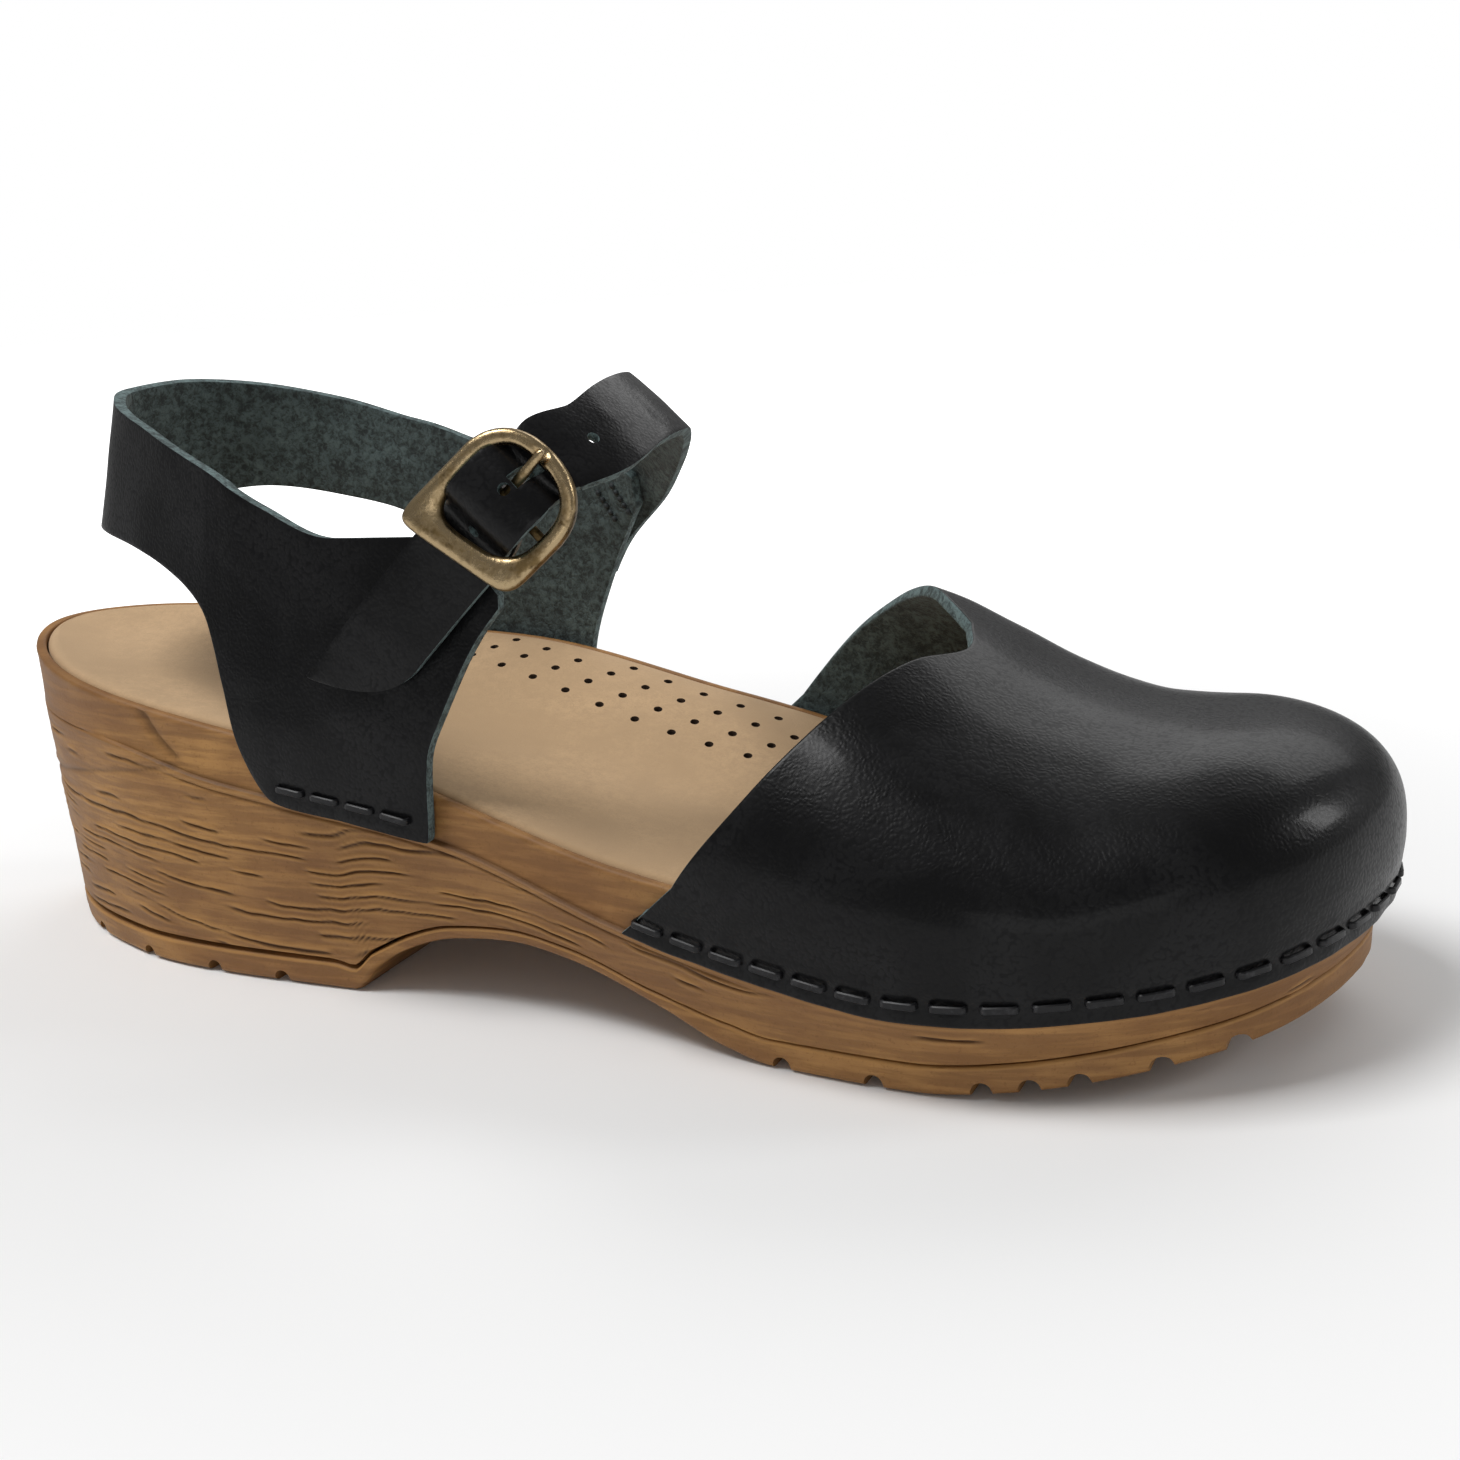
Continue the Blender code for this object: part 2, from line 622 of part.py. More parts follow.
def ribbon(name, path, left, right, thickness, look):
    """Strip of leather along a path, square to STRAP_ACROSS, with its own width each side."""
    path = np.asarray(path, float)
    ahead = np.gradient(path, axis=0)
    points = []
    for centre, direction, low, high in zip(path, ahead, left, right):
        direction = unit(direction)
        across = unit(np.array(STRAP_ACROSS) - direction * (np.array(STRAP_ACROSS) @ direction))
        normal = np.cross(across, direction)
        half = 0.5 * thickness
        round_off = min(0.5, 0.2 * (high - low))
        for side, out in ((low, -half + 0.4), (low, half - 0.4), (low + round_off, half),
                          (high - round_off, half), (high, half - 0.4), (high, -half + 0.4),
                          (high - round_off, -half), (low + round_off, -half)):
            points.append(centre + across * side + normal * out)
    faces = [tuple(range(8)), tuple(range(len(points) - 1, len(points) - 9, -1))]
    for k in range(len(path) - 1):
        for i in range(8):
            j = (i + 1) % 8
            faces.append((k * 8 + i, k * 8 + j, k * 8 + 8 + j, k * 8 + 8 + i))
    return add_mesh(name, points, faces, look)


def strap_wave():
    """Centre line of the strap through the buckle: under, over the bar, under."""
    shape = ((-16.0, STRAP_LOW_STRAIGHT - 1.3), (-12.5, STRAP_LOW_STRAIGHT - 0.3),
             (-10.5, STRAP_LOW_STRAIGHT), (-8.8, STRAP_LOW_STRAIGHT + 0.1),
             (-6.4, -2.0), (-4.5, 0.8), (-2.6, STRAP_OVER_BAR - 0.4), (0.6, STRAP_OVER_BAR),
             (3.2, STRAP_OVER_BAR - 0.5), (5.1, 0.5), (6.6, -2.0), (8.2, STRAP_LOW_ARCH),
             (10.6, STRAP_LOW_ARCH))
    return [buckle_point(along, 0.0, out) for along, out in shape]


def strap_path():
    return smooth_path((*STRAP_TIP_PATH, *strap_wave(), *STRAP_OVER_INSTEP), 241)


def strap_parts():
    """Path and widths of the free tip and of the rest of the strap."""
    path = strap_path()
    along = (path - np.array(BUCKLE_CENTRE)) @ ALONG
    local = np.linalg.norm(path - np.array(BUCKLE_CENTRE), axis=1)
    pinch = STRAP_PINCH * smooth_step(local, 3.5, 6.0) * (1 - smooth_step(local, 9.5, 13.0))
    length = np.concatenate([[0.0], np.cumsum(np.linalg.norm(np.diff(path, axis=0), axis=1))])
    curve = np.clip(1 - length / TIP_CURVE_LENGTH, 0, 1)
    high = STRAP_HALF_WIDTH - pinch - 1.86 * STRAP_HALF_WIDTH * curve ** 2.4
    low = -STRAP_HALF_WIDTH + pinch
    cut = int(np.argmax(along > -14.6))
    return path, low, high, cut


def tip_hinge_point():
    """Middle of the line on the strap's outer face where the free end bends away."""
    path, _low, _high, cut = strap_parts()
    direction = unit(path[cut + 1] - path[cut])
    across = unit(np.array(STRAP_ACROSS) - direction * (np.array(STRAP_ACROSS) @ direction))
    return path[cut] + direction * 0.5 * GAP + np.cross(across, direction) * 0.5 * STRAP_LEATHER


def make_strap_tip(look):
    path, low, high, cut = strap_parts()
    keep = [*range(0, cut - 2, 3), cut]
    return ribbon("strap_tip", path[keep], low[keep], high[keep], STRAP_LEATHER, look)


def make_ankle_strap(look):
    path, low, high, cut = strap_parts()
    keep = [cut, *range(cut + 2, len(path), 3)]
    line = path[keep].copy()
    line[0] += unit(path[cut + 1] - path[cut]) * GAP
    return ribbon("ankle_strap", line, low[keep], high[keep], STRAP_LEATHER, look)


def rod(name, start, end, radius, look, sides=12):
    """Round bar between two points."""
    start = np.array(start, float)
    end = np.array(end, float)
    axis = unit(end - start)
    side = unit(np.cross(axis, (0.3, 0.9, 0.2)))
    other = np.cross(axis, side)
    points = []
    for centre in (start, end):
        for i in range(sides):
            angle = 2 * math.pi * i / sides
            points.append(centre + radius * (side * math.cos(angle) + other * math.sin(angle)))
    faces = [tuple(range(sides)), tuple(range(2 * sides - 1, sides - 1, -1))]
    for i in range(sides):
        j = (i + 1) % sides
        faces.append((i, j, sides + j, sides + i))
    return add_mesh(name, points, faces, look)


def rounded(half_along, half_across, power, angle):
    c = math.cos(angle)
    s = math.sin(angle)
    return (half_along * math.copysign(abs(c) ** (2 / power), c),
            half_across * math.copysign(abs(s) ** (2 / power), s))


def make_buckle_frame(look):
    steps = 40
    points = []
    for k in range(steps):
        angle = 2 * math.pi * (k + 0.5) / steps
        arch = math.cos(angle) > 0
        outer = rounded(FRAME_ARCH - 1 if arch else 1 - FRAME_STRAIGHT, FRAME_HALF_WIDTH,
                        2.1 if arch else 9.0, angle)
        inner = rounded(OPENING_ARCH - 0.6 if arch else 0.6 - OPENING_STRAIGHT,
                        OPENING_HALF_WIDTH, 2.6, angle)
        outer = np.array(outer) + (1.0, 0.0)
        inner = np.array(inner) + (0.6, 0.0)
        middle = 0.5 * (outer + inner)
        reach = 0.5 * (outer - inner)
        for i in range(8):
            turn = 2 * math.pi * (i + 0.5) / 8
            flat = math.copysign(abs(math.cos(turn)) ** 0.8, math.cos(turn)) * 1.02
            high = math.copysign(abs(math.sin(turn)) ** 0.8, math.sin(turn)) * 1.02
            plan = middle + reach * flat
            points.append(buckle_point(plan[0], plan[1], FRAME_HALF_THICKNESS * high))
    faces = []
    for k in range(steps):
        for i in range(8):
            j = (i + 1) % 8
            n = (k + 1) % steps
            faces.append((k * 8 + i, k * 8 + j, n * 8 + j, n * 8 + i))
    return add_mesh("buckle_frame", points, faces, look)


def bar_ends(half):
    return (buckle_point(BAR_ALONG, -half, BAR_HEIGHT), buckle_point(BAR_ALONG, half, BAR_HEIGHT))


def prong_line():
    """Centre line of the prong from its ring on the bar to the arch."""
    return ((BAR_ALONG + 1.5, BAR_HEIGHT + 0.9), (5.0, 1.0), (8.4, 2.1), (10.6, 2.6))


def make_buckle_prong(look):
    """Ring round the bar with the prong that reaches over the arch."""
    outline = []
    sides = 14
    for i in range(sides):
        angle = 2 * math.pi * i / sides + 0.7
        outline.append((BAR_ALONG + 1.9 * math.cos(angle), BAR_HEIGHT + 1.9 * math.sin(angle)))
    hole = [(BAR_ALONG + 1.05 * math.cos(2 * math.pi * i / sides + 0.7),
             BAR_HEIGHT + 1.05 * math.sin(2 * math.pi * i / sides + 0.7)) for i in range(sides)]
    points = []
    for across in (-1.1, 1.1):
        points.extend(buckle_point(a, across, o) for a, o in outline)
        points.extend(buckle_point(a, across, o) for a, o in hole)
    faces = []
    for i in range(sides):
        j = (i + 1) % sides
        faces.append((i, j, sides + j, sides + i))
        faces.append((2 * sides + j, 2 * sides + i, 3 * sides + i, 3 * sides + j))
        faces.append((j, i, 2 * sides + i, 2 * sides + j))
        faces.append((sides + i, sides + j, 3 * sides + j, 3 * sides + i))
    loop = add_mesh("buckle_prong", points, faces, look)
    blade_points = []
    line = prong_line()
    for along, out in line:
        taper = 1.0 - 0.12 * (along / 12.0)
        for i in range(8):
            turn = 2 * math.pi * (i + 0.5) / 8
            blade_points.append(buckle_point(along, PRONG_RADIUS * taper * math.cos(turn),
                                             out + PRONG_RADIUS * taper * math.sin(turn)))
    blade_faces = [tuple(range(8)), tuple(range(8 * len(line) - 1, 8 * len(line) - 9, -1))]
    for k in range(len(line) - 1):
        for i in range(8):
            j = (i + 1) % 8
            blade_faces.append((k * 8 + i, k * 8 + j, k * 8 + 8 + j, k * 8 + 8 + i))
    blade = add_mesh("prong_blade", blade_points, blade_faces, look)
    combine(loop, blade, "UNION")
    return loop


def combine(target, tool, operation):
    """Join or cut with another mesh, which is then only a helper."""
    step = target.modifiers.new(tool.name, "BOOLEAN")
    step.operation = operation
    step.solver = "EXACT"
    step.object = tool
    tool.hide_render = True
    tool.display_type = "WIRE"


def make_prong_slot(look):
    """Clearance in the strap for the prong in every position it takes."""
    reach = 13.0
    pivot = np.array((BAR_ALONG, BAR_HEIGHT))
    points = []
    for across in (-1.35, 1.35):
        for angle, distance, shift in ((5.0, 2.6, -1.2), (9.0, reach, -1.6),
                                       (14.0 + PRONG_LIFT + FRAME_ROCK, reach, 1.2),
                                       (82.0, 2.7, 0.5)):
            turn = math.radians(angle)
            spot = pivot + distance * np.array((math.cos(turn), math.sin(turn)))
            points.append(buckle_point(spot[0], across, spot[1] + shift))
    return add_mesh("prong_slot", points, box_faces(0), look)


def make_buckle_chape(look):
    """Leather tab folded round the bar, one end on each face of the quarter's corner."""
    centre = np.array((BAR_ALONG, BAR_HEIGHT))
    radius = BAR_RADIUS + 0.2 + 0.5 * CHAPE_LEATHER
    path = [(-17.0, -6.9), (-13.0, -6.0), (-9.0, -5.4), (-5.5, -4.1), (-2.6, -1.5)]
    for degrees in (125, 90, 55, 20, -15, -50, -85, -120):
        turn = math.radians(degrees)
        path.append((centre[0] + radius * math.cos(turn), centre[1] + radius * math.sin(turn)))
    path.extend([(-3.0, -4.4), (-5.5, -7.6), (-9.0, -9.8), (-13.0, -11.0), (-17.0, -12.0)])
    line = smooth_path([buckle_point(a, 0.0, o) for a, o in path], 40)
    return chape_strip(line, look)


def chape_strip(line, look):
    ahead = np.gradient(line, axis=0)
    points = []
    for centre, direction in zip(line, ahead):
        normal = np.cross(ACROSS, unit(direction))
        for side, out in ((-1, -1), (-1, 1), (1, 1), (1, -1)):
            points.append(centre + ACROSS * CHAPE_HALF_WIDTH * side
                          + normal * 0.5 * CHAPE_LEATHER * out)
    faces = [(0, 1, 2, 3), tuple(range(len(points) - 1, len(points) - 5, -1))]
    for k in range(len(line) - 1):
        for i in range(4):
            j = (i + 1) % 4
            faces.append((k * 4 + i, k * 4 + j, k * 4 + 4 + j, k * 4 + 4 + i))
    return add_mesh("buckle_chape", points, faces, look)


def make_chape_slot(look):
    """Opening in the fold where the prong's ring sits on the bar."""
    corners = [(-3.0, -6.0), (8.0, -6.0), (8.0, 3.5), (-3.0, 3.5)]
    points = [buckle_point(a, across, o) for across in (-1.5, 1.5) for a, o in corners]
    return add_mesh("chape_slot", points, box_faces(0), look)


def block(points, centre, axes, sizes):
    """Add the corners of one box, given its three directions and full sizes."""
    base = len(points)
    for deep in (-0.5, 0.5):
        for one, two in ((-0.5, -0.5), (0.5, -0.5), (0.5, 0.5), (-0.5, 0.5)):
            points.append(np.array(centre, float) + axes[0] * sizes[0] * one
                          + axes[1] * sizes[1] * two + axes[2] * sizes[2] * deep)
    return box_faces(base)


def tack_axes():
    through = unit(TACK_THROUGH)
    along = np.array(TACK_DIRECTION, float)
    along = unit(along - through * (along @ through))
    return along, np.cross(through, along), through


def make_tacks(look):
    made = []
    for number, centre in enumerate(TACK_CENTRES, 1):
        points = []
        faces = block(points, centre, tack_axes(), (TACK_LENGTH, TACK_WIDTH, TACK_DEPTH))
        made.append(add_mesh(f"strap_tack_{number:02d}", points, faces, look))
    return made


def make_tack_slots(look):
    points = []
    faces = []
    size = (TACK_LENGTH + 0.4, TACK_WIDTH + 0.4, TACK_DEPTH + 4.0)
    for centre in TACK_CENTRES:
        faces.extend(block(points, centre, tack_axes(), size))
    return add_mesh("tack_slots", points, faces, look)


def place(frame, along, across_vector, across, out_distance):
    centre, tangent, out = frame
    return centre + tangent * along + across_vector * across + out * out_distance


def make_staple(name, centre, tangent, out, look):
    across = np.cross(out, tangent)
    frame = (centre, tangent, out)
    reach = 0.5 * STAPLE_CROWN
    deep = STAPLE_WIRE_DEPTH
    wide = 0.5 * STAPLE_WIRE_WIDTH
    outline = ((-reach, -STAPLE_LEG), (-reach, GAP + deep - 0.25), (-reach + 0.25, GAP + deep),
               (reach - 0.25, GAP + deep), (reach, GAP + deep - 0.25), (reach, -STAPLE_LEG),
               (reach - deep, -STAPLE_LEG), (reach - deep, GAP), (-reach + deep, GAP),
               (-reach + deep, -STAPLE_LEG))
    points = [place(frame, along, across, side * wide, height)
              for side in (-1, 1) for along, height in outline]
    count = len(outline)
    faces = []
    for i in range(count):
        j = (i + 1) % count
        faces.append((i, j, count + j, count + i))
    for base, flip in ((0, False), (count, True)):
        for quad in ((0, 1, 8, 9), (1, 2, 3, 4, 7, 8), (4, 5, 6, 7)):
            one = tuple(base + i for i in quad)
            faces.append(one[::-1] if flip else one)
    return add_mesh(name, points, faces, look)


def leg_holes(staples, look):
    """One helper mesh with a clearance hole for every staple leg."""
    points = []
    faces = []
    reach = 0.5 * STAPLE_CROWN
    for centre, tangent, out in staples:
        across = np.cross(out, tangent)
        for side in (-1, 1):
            base = len(points)
            near = side * (reach - STAPLE_WIRE_DEPTH - 0.15)
            far = side * (reach + 0.15)
            wide = 0.5 * STAPLE_WIRE_WIDTH + 0.15
            for height in (1.5, -STAPLE_LEG - 0.3):
                for along, lateral in ((near, -wide), (far, -wide), (far, wide), (near, wide)):
                    points.append(centre + tangent * along + across * lateral + out * height)
            faces.extend(box_faces(base))
    return add_mesh("staple_leg_holes", points, faces, look)


def staple_frame(side, x):
    """Centre on the leather, direction along the edge and outward direction."""
    point, out = side_point(side, x)
    ahead, _ = side_point(side, x + 0.5)
    rise = float(seat_height(*ahead) - seat_height(*point)) + 0.0
    tangent = unit((*(ahead - point), rise))
    outward = unit((*out, 0.0))
    outward = unit(outward - tangent * (outward @ tangent))
    place_at = point + out * (GAP + LEATHER + 1.05)
    height = float(seat_height(*point)) + STAPLE_ABOVE_EDGE
    return np.array((*place_at, height)), tangent, outward


def upper_staple_frames():
    """Even spacing along the lower edge of the closed toe from one throat end to the other."""
    outer_line, outer_out = OUTER_SIDE
    inner_line, inner_out = INNER_SIDE
    first = outer_line[:, 0] > THROAT_OUTER[0][1] + 4.0
    last = inner_line[:, 0] > THROAT_INNER[0][1] + 4.0
    line = np.vstack([outer_line[first], inner_line[last][::-1]])
    out = np.vstack([outer_out[first], inner_out[last][::-1]])
    length = np.concatenate([[0], np.cumsum(np.linalg.norm(np.diff(line, axis=0), axis=1))])
    frames = []
    for s in np.linspace(0, length[-1], UPPER_STAPLES):
        point = np.array([np.interp(s, length, line[:, i]) for i in (0, 1)])
        outward = unit([np.interp(s, length, out[:, i]) for i in (0, 1)])
        tangent = np.array((-outward[1], outward[0]))
        before = point - tangent
        after = point + tangent
        rise = float(seat_height(*after) - seat_height(*before)) / 2
        tangent = unit((*tangent, rise))
        normal = np.array((*outward, 0.0))
        normal = unit(normal - tangent * (normal @ tangent))
        height = float(seat_height(*point)) + STAPLE_ABOVE_EDGE
        bulge = TOE_BULGE * (STAPLE_ABOVE_EDGE / max(8.0, float(rim_height(*point)) + 2.5
                                                     - float(seat_height(*point)))) ** 2
        place_at = point + outward * (GAP + LEATHER + bulge + 0.15)
        frames.append((np.array((*place_at, height)), tangent, normal))
    return frames


def quarter_staple_frames(side):
    frames = []
    for k in range(QUARTER_STAPLES):
        frames.append(staple_frame(side, 86.8 + k * 7.1 - (1.0 if side is INNER_SIDE else 0.0)))
    return frames


def centre_on_origin(objects):
    """Move everything so that the middle of the base of the whole sits at the origin."""
    bpy.context.view_layer.update()
    low = np.full(3, np.inf)
    high = np.full(3, -np.inf)
    depsgraph = bpy.context.evaluated_depsgraph_get()
    for made in objects:
        mesh = made.evaluated_get(depsgraph).to_mesh()
        points = np.array([made.matrix_world @ v.co for v in mesh.vertices])
        low = np.minimum(low, points.min(axis=0))
        high = np.maximum(high, points.max(axis=0))
    shift = np.array((-(low[0] + high[0]) / 2, -(low[1] + high[1]) / 2, -low[2]))
    return shift


def set_origin(made, point):
    """Put an object's own origin on its joint axis."""
    point = np.array(point, float) * MM
    for vertex in made.data.vertices:
        vertex.co = np.array(vertex.co) - point
    made.location = point


def build():
    for old in list(bpy.data.objects):
        bpy.data.objects.remove(old)
    sole_look = material("moulded_sole", (0.36, 0.17, 0.07), 0.55)
    foam_look = material("footbed_foam", (0.30, 0.27, 0.22), 0.9)
    insock_look = material("insock_leather", (0.58, 0.40, 0.24), 0.75)
    upper_look = material("upper_leather", (0.012, 0.012, 0.013), 0.32)
    brass_look = material("aged_brass", (0.36, 0.27, 0.13), 0.38, 1.0)
    steel_look = material("bar_steel", (0.42, 0.38, 0.30), 0.35, 1.0)
    wire_look = material("staple_wire", (0.02, 0.02, 0.02), 0.4, 0.6)
    thread_look = material("black_thread", (0.015, 0.015, 0.015), 0.8)

    sole = make_sole_body(sole_look)
    outsole = make_outsole(sole_look)
    tread = make_tread_cutter(sole_look)
    combine(outsole, tread, "DIFFERENCE")
    core = make_footbed_core(foam_look)
    insock = make_insock_cover(insock_look)
    vamp = make_vamp(upper_look)
    quarter = make_heel_quarter(upper_look)
    strap = make_ankle_strap(upper_look)
    tip = make_strap_tip(upper_look)
    frame = make_buckle_frame(brass_look)
    bar = rod("buckle_bar", *bar_ends(BAR_HALF_LENGTH), BAR_RADIUS, steel_look)
    bar_hole = rod("bar_hole", *bar_ends(BAR_HALF_LENGTH + 0.3), BAR_RADIUS + 0.3, steel_look)
    combine(frame, bar_hole, "DIFFERENCE")
    prong = make_buckle_prong(brass_look)
    slot = make_prong_slot(brass_look)
    combine(strap, slot, "DIFFERENCE")
    chape = make_buckle_chape(upper_look)
    chape_slot = make_chape_slot(upper_look)
    combine(chape, chape_slot, "DIFFERENCE")

    groups = (("vamp_staple", upper_staple_frames(), vamp),
              ("outer_staple", quarter_staple_frames(OUTER_SIDE), quarter),
              ("inner_staple", quarter_staple_frames(INNER_SIDE), quarter))
    frames = [frame for _label, group, _leather in groups for frame in group]
    staples = []
    for label, group, _leather in groups:
        for number, (centre, tangent, out) in enumerate(group, 1):
            staples.append(make_staple(f"{label}_{number:02d}", centre, tangent, out, wire_look))
    holes = leg_holes(frames, wire_look)
    for leather in (vamp, quarter, sole):
        combine(leather, holes, "DIFFERENCE")

    tacks = make_tacks(thread_look)
    tack_slots = make_tack_slots(thread_look)
    for leather in (quarter, strap):
        combine(leather, tack_slots, "DIFFERENCE")

    pivot = buckle_point(BAR_ALONG, 0.0, BAR_HEIGHT)
    for made in (frame, bar, prong):
        set_origin(made, pivot)
    set_origin(tip, tip_hinge_point())
    kept = [sole, outsole, core, insock, vamp, quarter, strap, tip, frame, bar, prong, chape,
            *tacks, *staples]
    shift = centre_on_origin(kept)
    for made in bpy.data.objects:
        made.location = np.array(made.location) + shift
    print("SHIFT_MM", [round(float(v) * 1000, 3) for v in shift])


build()
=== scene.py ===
"""Finished look of a heeled clog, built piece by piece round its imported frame.

+X runs to the toe, +Y to the inner side of the foot, +Z up. Shapes are worked out in
millimetres from the back of the heel and placed in the shared frame in metres.
"""

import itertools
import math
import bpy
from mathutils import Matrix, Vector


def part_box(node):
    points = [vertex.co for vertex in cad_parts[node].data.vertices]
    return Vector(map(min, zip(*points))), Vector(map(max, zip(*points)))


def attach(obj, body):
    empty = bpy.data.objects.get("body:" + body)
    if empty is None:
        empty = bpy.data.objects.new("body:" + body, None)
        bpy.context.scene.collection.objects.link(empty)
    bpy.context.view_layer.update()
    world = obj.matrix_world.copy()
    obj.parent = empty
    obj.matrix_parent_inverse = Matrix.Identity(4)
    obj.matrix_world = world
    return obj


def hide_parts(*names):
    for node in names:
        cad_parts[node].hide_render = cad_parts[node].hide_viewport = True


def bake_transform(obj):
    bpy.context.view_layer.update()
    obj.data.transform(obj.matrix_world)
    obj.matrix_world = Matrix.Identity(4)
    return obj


bl_info = {
    "name": "Heeled clog workshop",
    "version": (1, 0, 0),
    "blender": (4, 5, 0),
    "location": "View3D > Sidebar > Clog",
    "description": "Builds the leather, sole, buckle and staples of a heeled clog",
    "category": "Object",
}

import bmesh
import bpy
import numpy as np
from bpy.props import FloatProperty, FloatVectorProperty, IntProperty, PointerProperty
from mathutils import Matrix, Vector
from mathutils.bvhtree import BVHTree

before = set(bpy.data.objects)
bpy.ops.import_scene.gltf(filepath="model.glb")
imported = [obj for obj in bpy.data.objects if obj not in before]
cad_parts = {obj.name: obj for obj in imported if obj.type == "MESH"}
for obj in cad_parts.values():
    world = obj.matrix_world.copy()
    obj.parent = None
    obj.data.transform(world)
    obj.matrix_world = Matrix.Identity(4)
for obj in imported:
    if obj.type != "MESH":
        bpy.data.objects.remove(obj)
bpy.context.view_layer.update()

MM = 0.001
# The heel's back stands at the low end of the sole; the rim's middle line lies off centre
SHIFT = np.array((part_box("sole_body")[0].x / MM, 1.719, 0.0))
LEATHER = 2.2
STRAP_LEATHER = 2.0
GAP = 0.3

# Top rim of the sole, seen from above
HEEL_BACK = (0.0, 0.0)
TOE_TIP = (262.0, 8.3)
OUTER_RIM = ((12, -20.2), (40, -34.7), (80, -37.8), (120, -37.9), (160, -42.4),
             (190, -46.2), (215, -45.2), (240, -34.2), (255, -18.3))
INNER_RIM = ((255, 24.3), (235, 36.9), (205, 43.2), (175, 40.8), (140, 36.5),
             (100, 35.1), (60, 32.9), (30, 28.6), (8, 17.6))
# Heights along the length of the sole
RIM_HEIGHT = ((0, 59.1), (50, 51.9), (100, 43.1), (150, 30.3), (200, 25.6), (262, 28.0))
ARCH_RAISE = ((0, 0.0), (30, 1.3), (60, 2.2), (100, 6.1), (140, 7.4), (180, 1.8), (215, 0.0))
SEAT_LINE = ((0, 47.0), (40, 45.0), (66, 39.5), (82, 37.0), (113, 32.0), (150, 21.0),
             (175, 16.4), (200, 13.8), (232, 15.4), (262, 19.5))
GROUND_LINE = ((0, 0.0), (91, 0.0), (96, 5.0), (104, 9.5), (113, 12.2), (126, 13.2), (137, 11.8),
               (155, 6.4), (168, 1.5), (176, 0.0), (200, 0.0), (215, 1.3), (240, 5.0), (262, 9.2))
TREAD_THICKNESS = ((0, 5.2), (86, 5.2), (100, 2.4), (150, 2.4), (172, 5.0), (262, 5.2))
# Rings of the tray and lip that carry no relief
PLAIN_RINGS = 8
SEAT_STEP = 0.9
SIDE_TAPER = 3.0
BACK_TAPER = 0.3
TOE_TAPER = 2.0
TRAY_DEPTH = 3.6
RIM_WIDTH = 1.9
INSOCK_THICKNESS = 1.3
TREAD_GROOVES = (22, 41, 59, 75, 178, 194, 211, 218, 225, 236, 246)
# Long crease round the back of the heel, and the crescent where the leather's seat begins
BACK_CREASE = ((0, 31.0), (27, 36.0), (57, 41.0))
CRESCENT = ((42.2, 59.3), (46.8, 54.4), (52.5, 50.8))

# Closed toe
CROWN_HEIGHT = ((150, 84.0), (180, 70.0), (190, 66.2), (200, 60.8), (210, 55.2), (219, 51.7),
                (227, 49.9), (236, 49.5), (250, 49.8), (270, 49.8))
CROWN_MIDDLE = ((150, 3.0), (200, 4.0), (236, 6.5), (270, 8.0))
THROAT_OUTER = ((0.0, 151.5), (0.2, 163.0), (0.4, 175.5), (0.6, 185.5), (0.8, 193.8),
                (0.92, 199.0), (1.0, 196.5))
THROAT_INNER = ((0.0, 139.0), (0.2, 150.5), (0.4, 162.0), (0.6, 174.0), (0.8, 184.5),
                (0.92, 190.5), (1.0, 196.5))
TOE_POLE_X = 236.0
TOE_BULGE = 1.2
TOE_FULLNESS = 0.25

# Heel strap with both quarters: x, y high on the ankle, x, y at the sole, lower and upper edge
QUARTER_COLUMNS = (
    (130.0, -33.4, 130.0, -39.6, 72.0, 74.2),
    (125.5, -33.7, 125.5, -39.9, 66.5, 79.0),
    (119.2, -34.0, 119.2, -40.2, 55.0, 82.4),
    (115.6, -34.1, 115.6, -40.4, 46.6, 83.2),
    (113.8, -34.2, 113.8, -40.5, 31.9, 83.4),
    (98.0, -34.6, 98.0, -41.1, 34.6, 83.2),
    (83.0, -34.0, 83.0, -41.0, 37.0, 88.3),
    (76.5, -33.4, 76.5, -40.4, 46.0, 91.2),
    (73.5, -32.7, 73.0, -40.0, 58.0, 92.6),
    (70.0, -31.8, 69.0, -39.4, 69.0, 94.0),
    (63.5, -29.6, 61.0, -37.6, 74.5, 96.0),
    (48.0, -23.2, 41.0, -31.6, 79.4, 100.4),
    (32.0, -13.6, 21.5, -19.4, 81.0, 104.0),
    (24.0, 0.0, 12.0, 0.0, 81.6, 105.6),
    (26.0, 12.4, 15.0, 15.4, 82.2, 106.0),
    (36.0, 23.8, 27.5, 28.2, 83.0, 104.4),
    (56.0, 31.2, 52.0, 35.0, 79.6, 99.6),
    (68.5, 33.2, 68.0, 36.4, 75.4, 95.6),
    (74.5, 33.7, 74.0, 36.8, 71.0, 94.0),
    (78.5, 34.0, 78.0, 37.0, 60.0, 92.6),
    (81.5, 34.2, 81.5, 37.2, 47.0, 91.4),
    (85.0, 34.3, 85.0, 37.9, 38.6, 90.2),
    (95.0, 34.2, 95.0, 38.4, 37.0, 88.6),
    (103.0, 33.9, 103.0, 38.6, 35.8, 88.0),
    (105.6, 33.7, 105.6, 38.6, 48.0, 88.0),
    (109.4, 33.3, 109.4, 38.5, 57.6, 87.9),
    (113.2, 32.7, 113.2, 38.6, 65.2, 87.4),
    (118.2, 31.5, 118.2, 38.8, 73.6, 85.6),
    (121.0, 30.6, 121.0, 38.9, 77.6, 83.4),
)
QUARTER_WEIGHTS = (1.0, 1.0, 0.3, 0.3, 0.6, 0.3)
QUARTER_HIGH_Z = 95.0
QUARTER_LOW_Z = 49.0

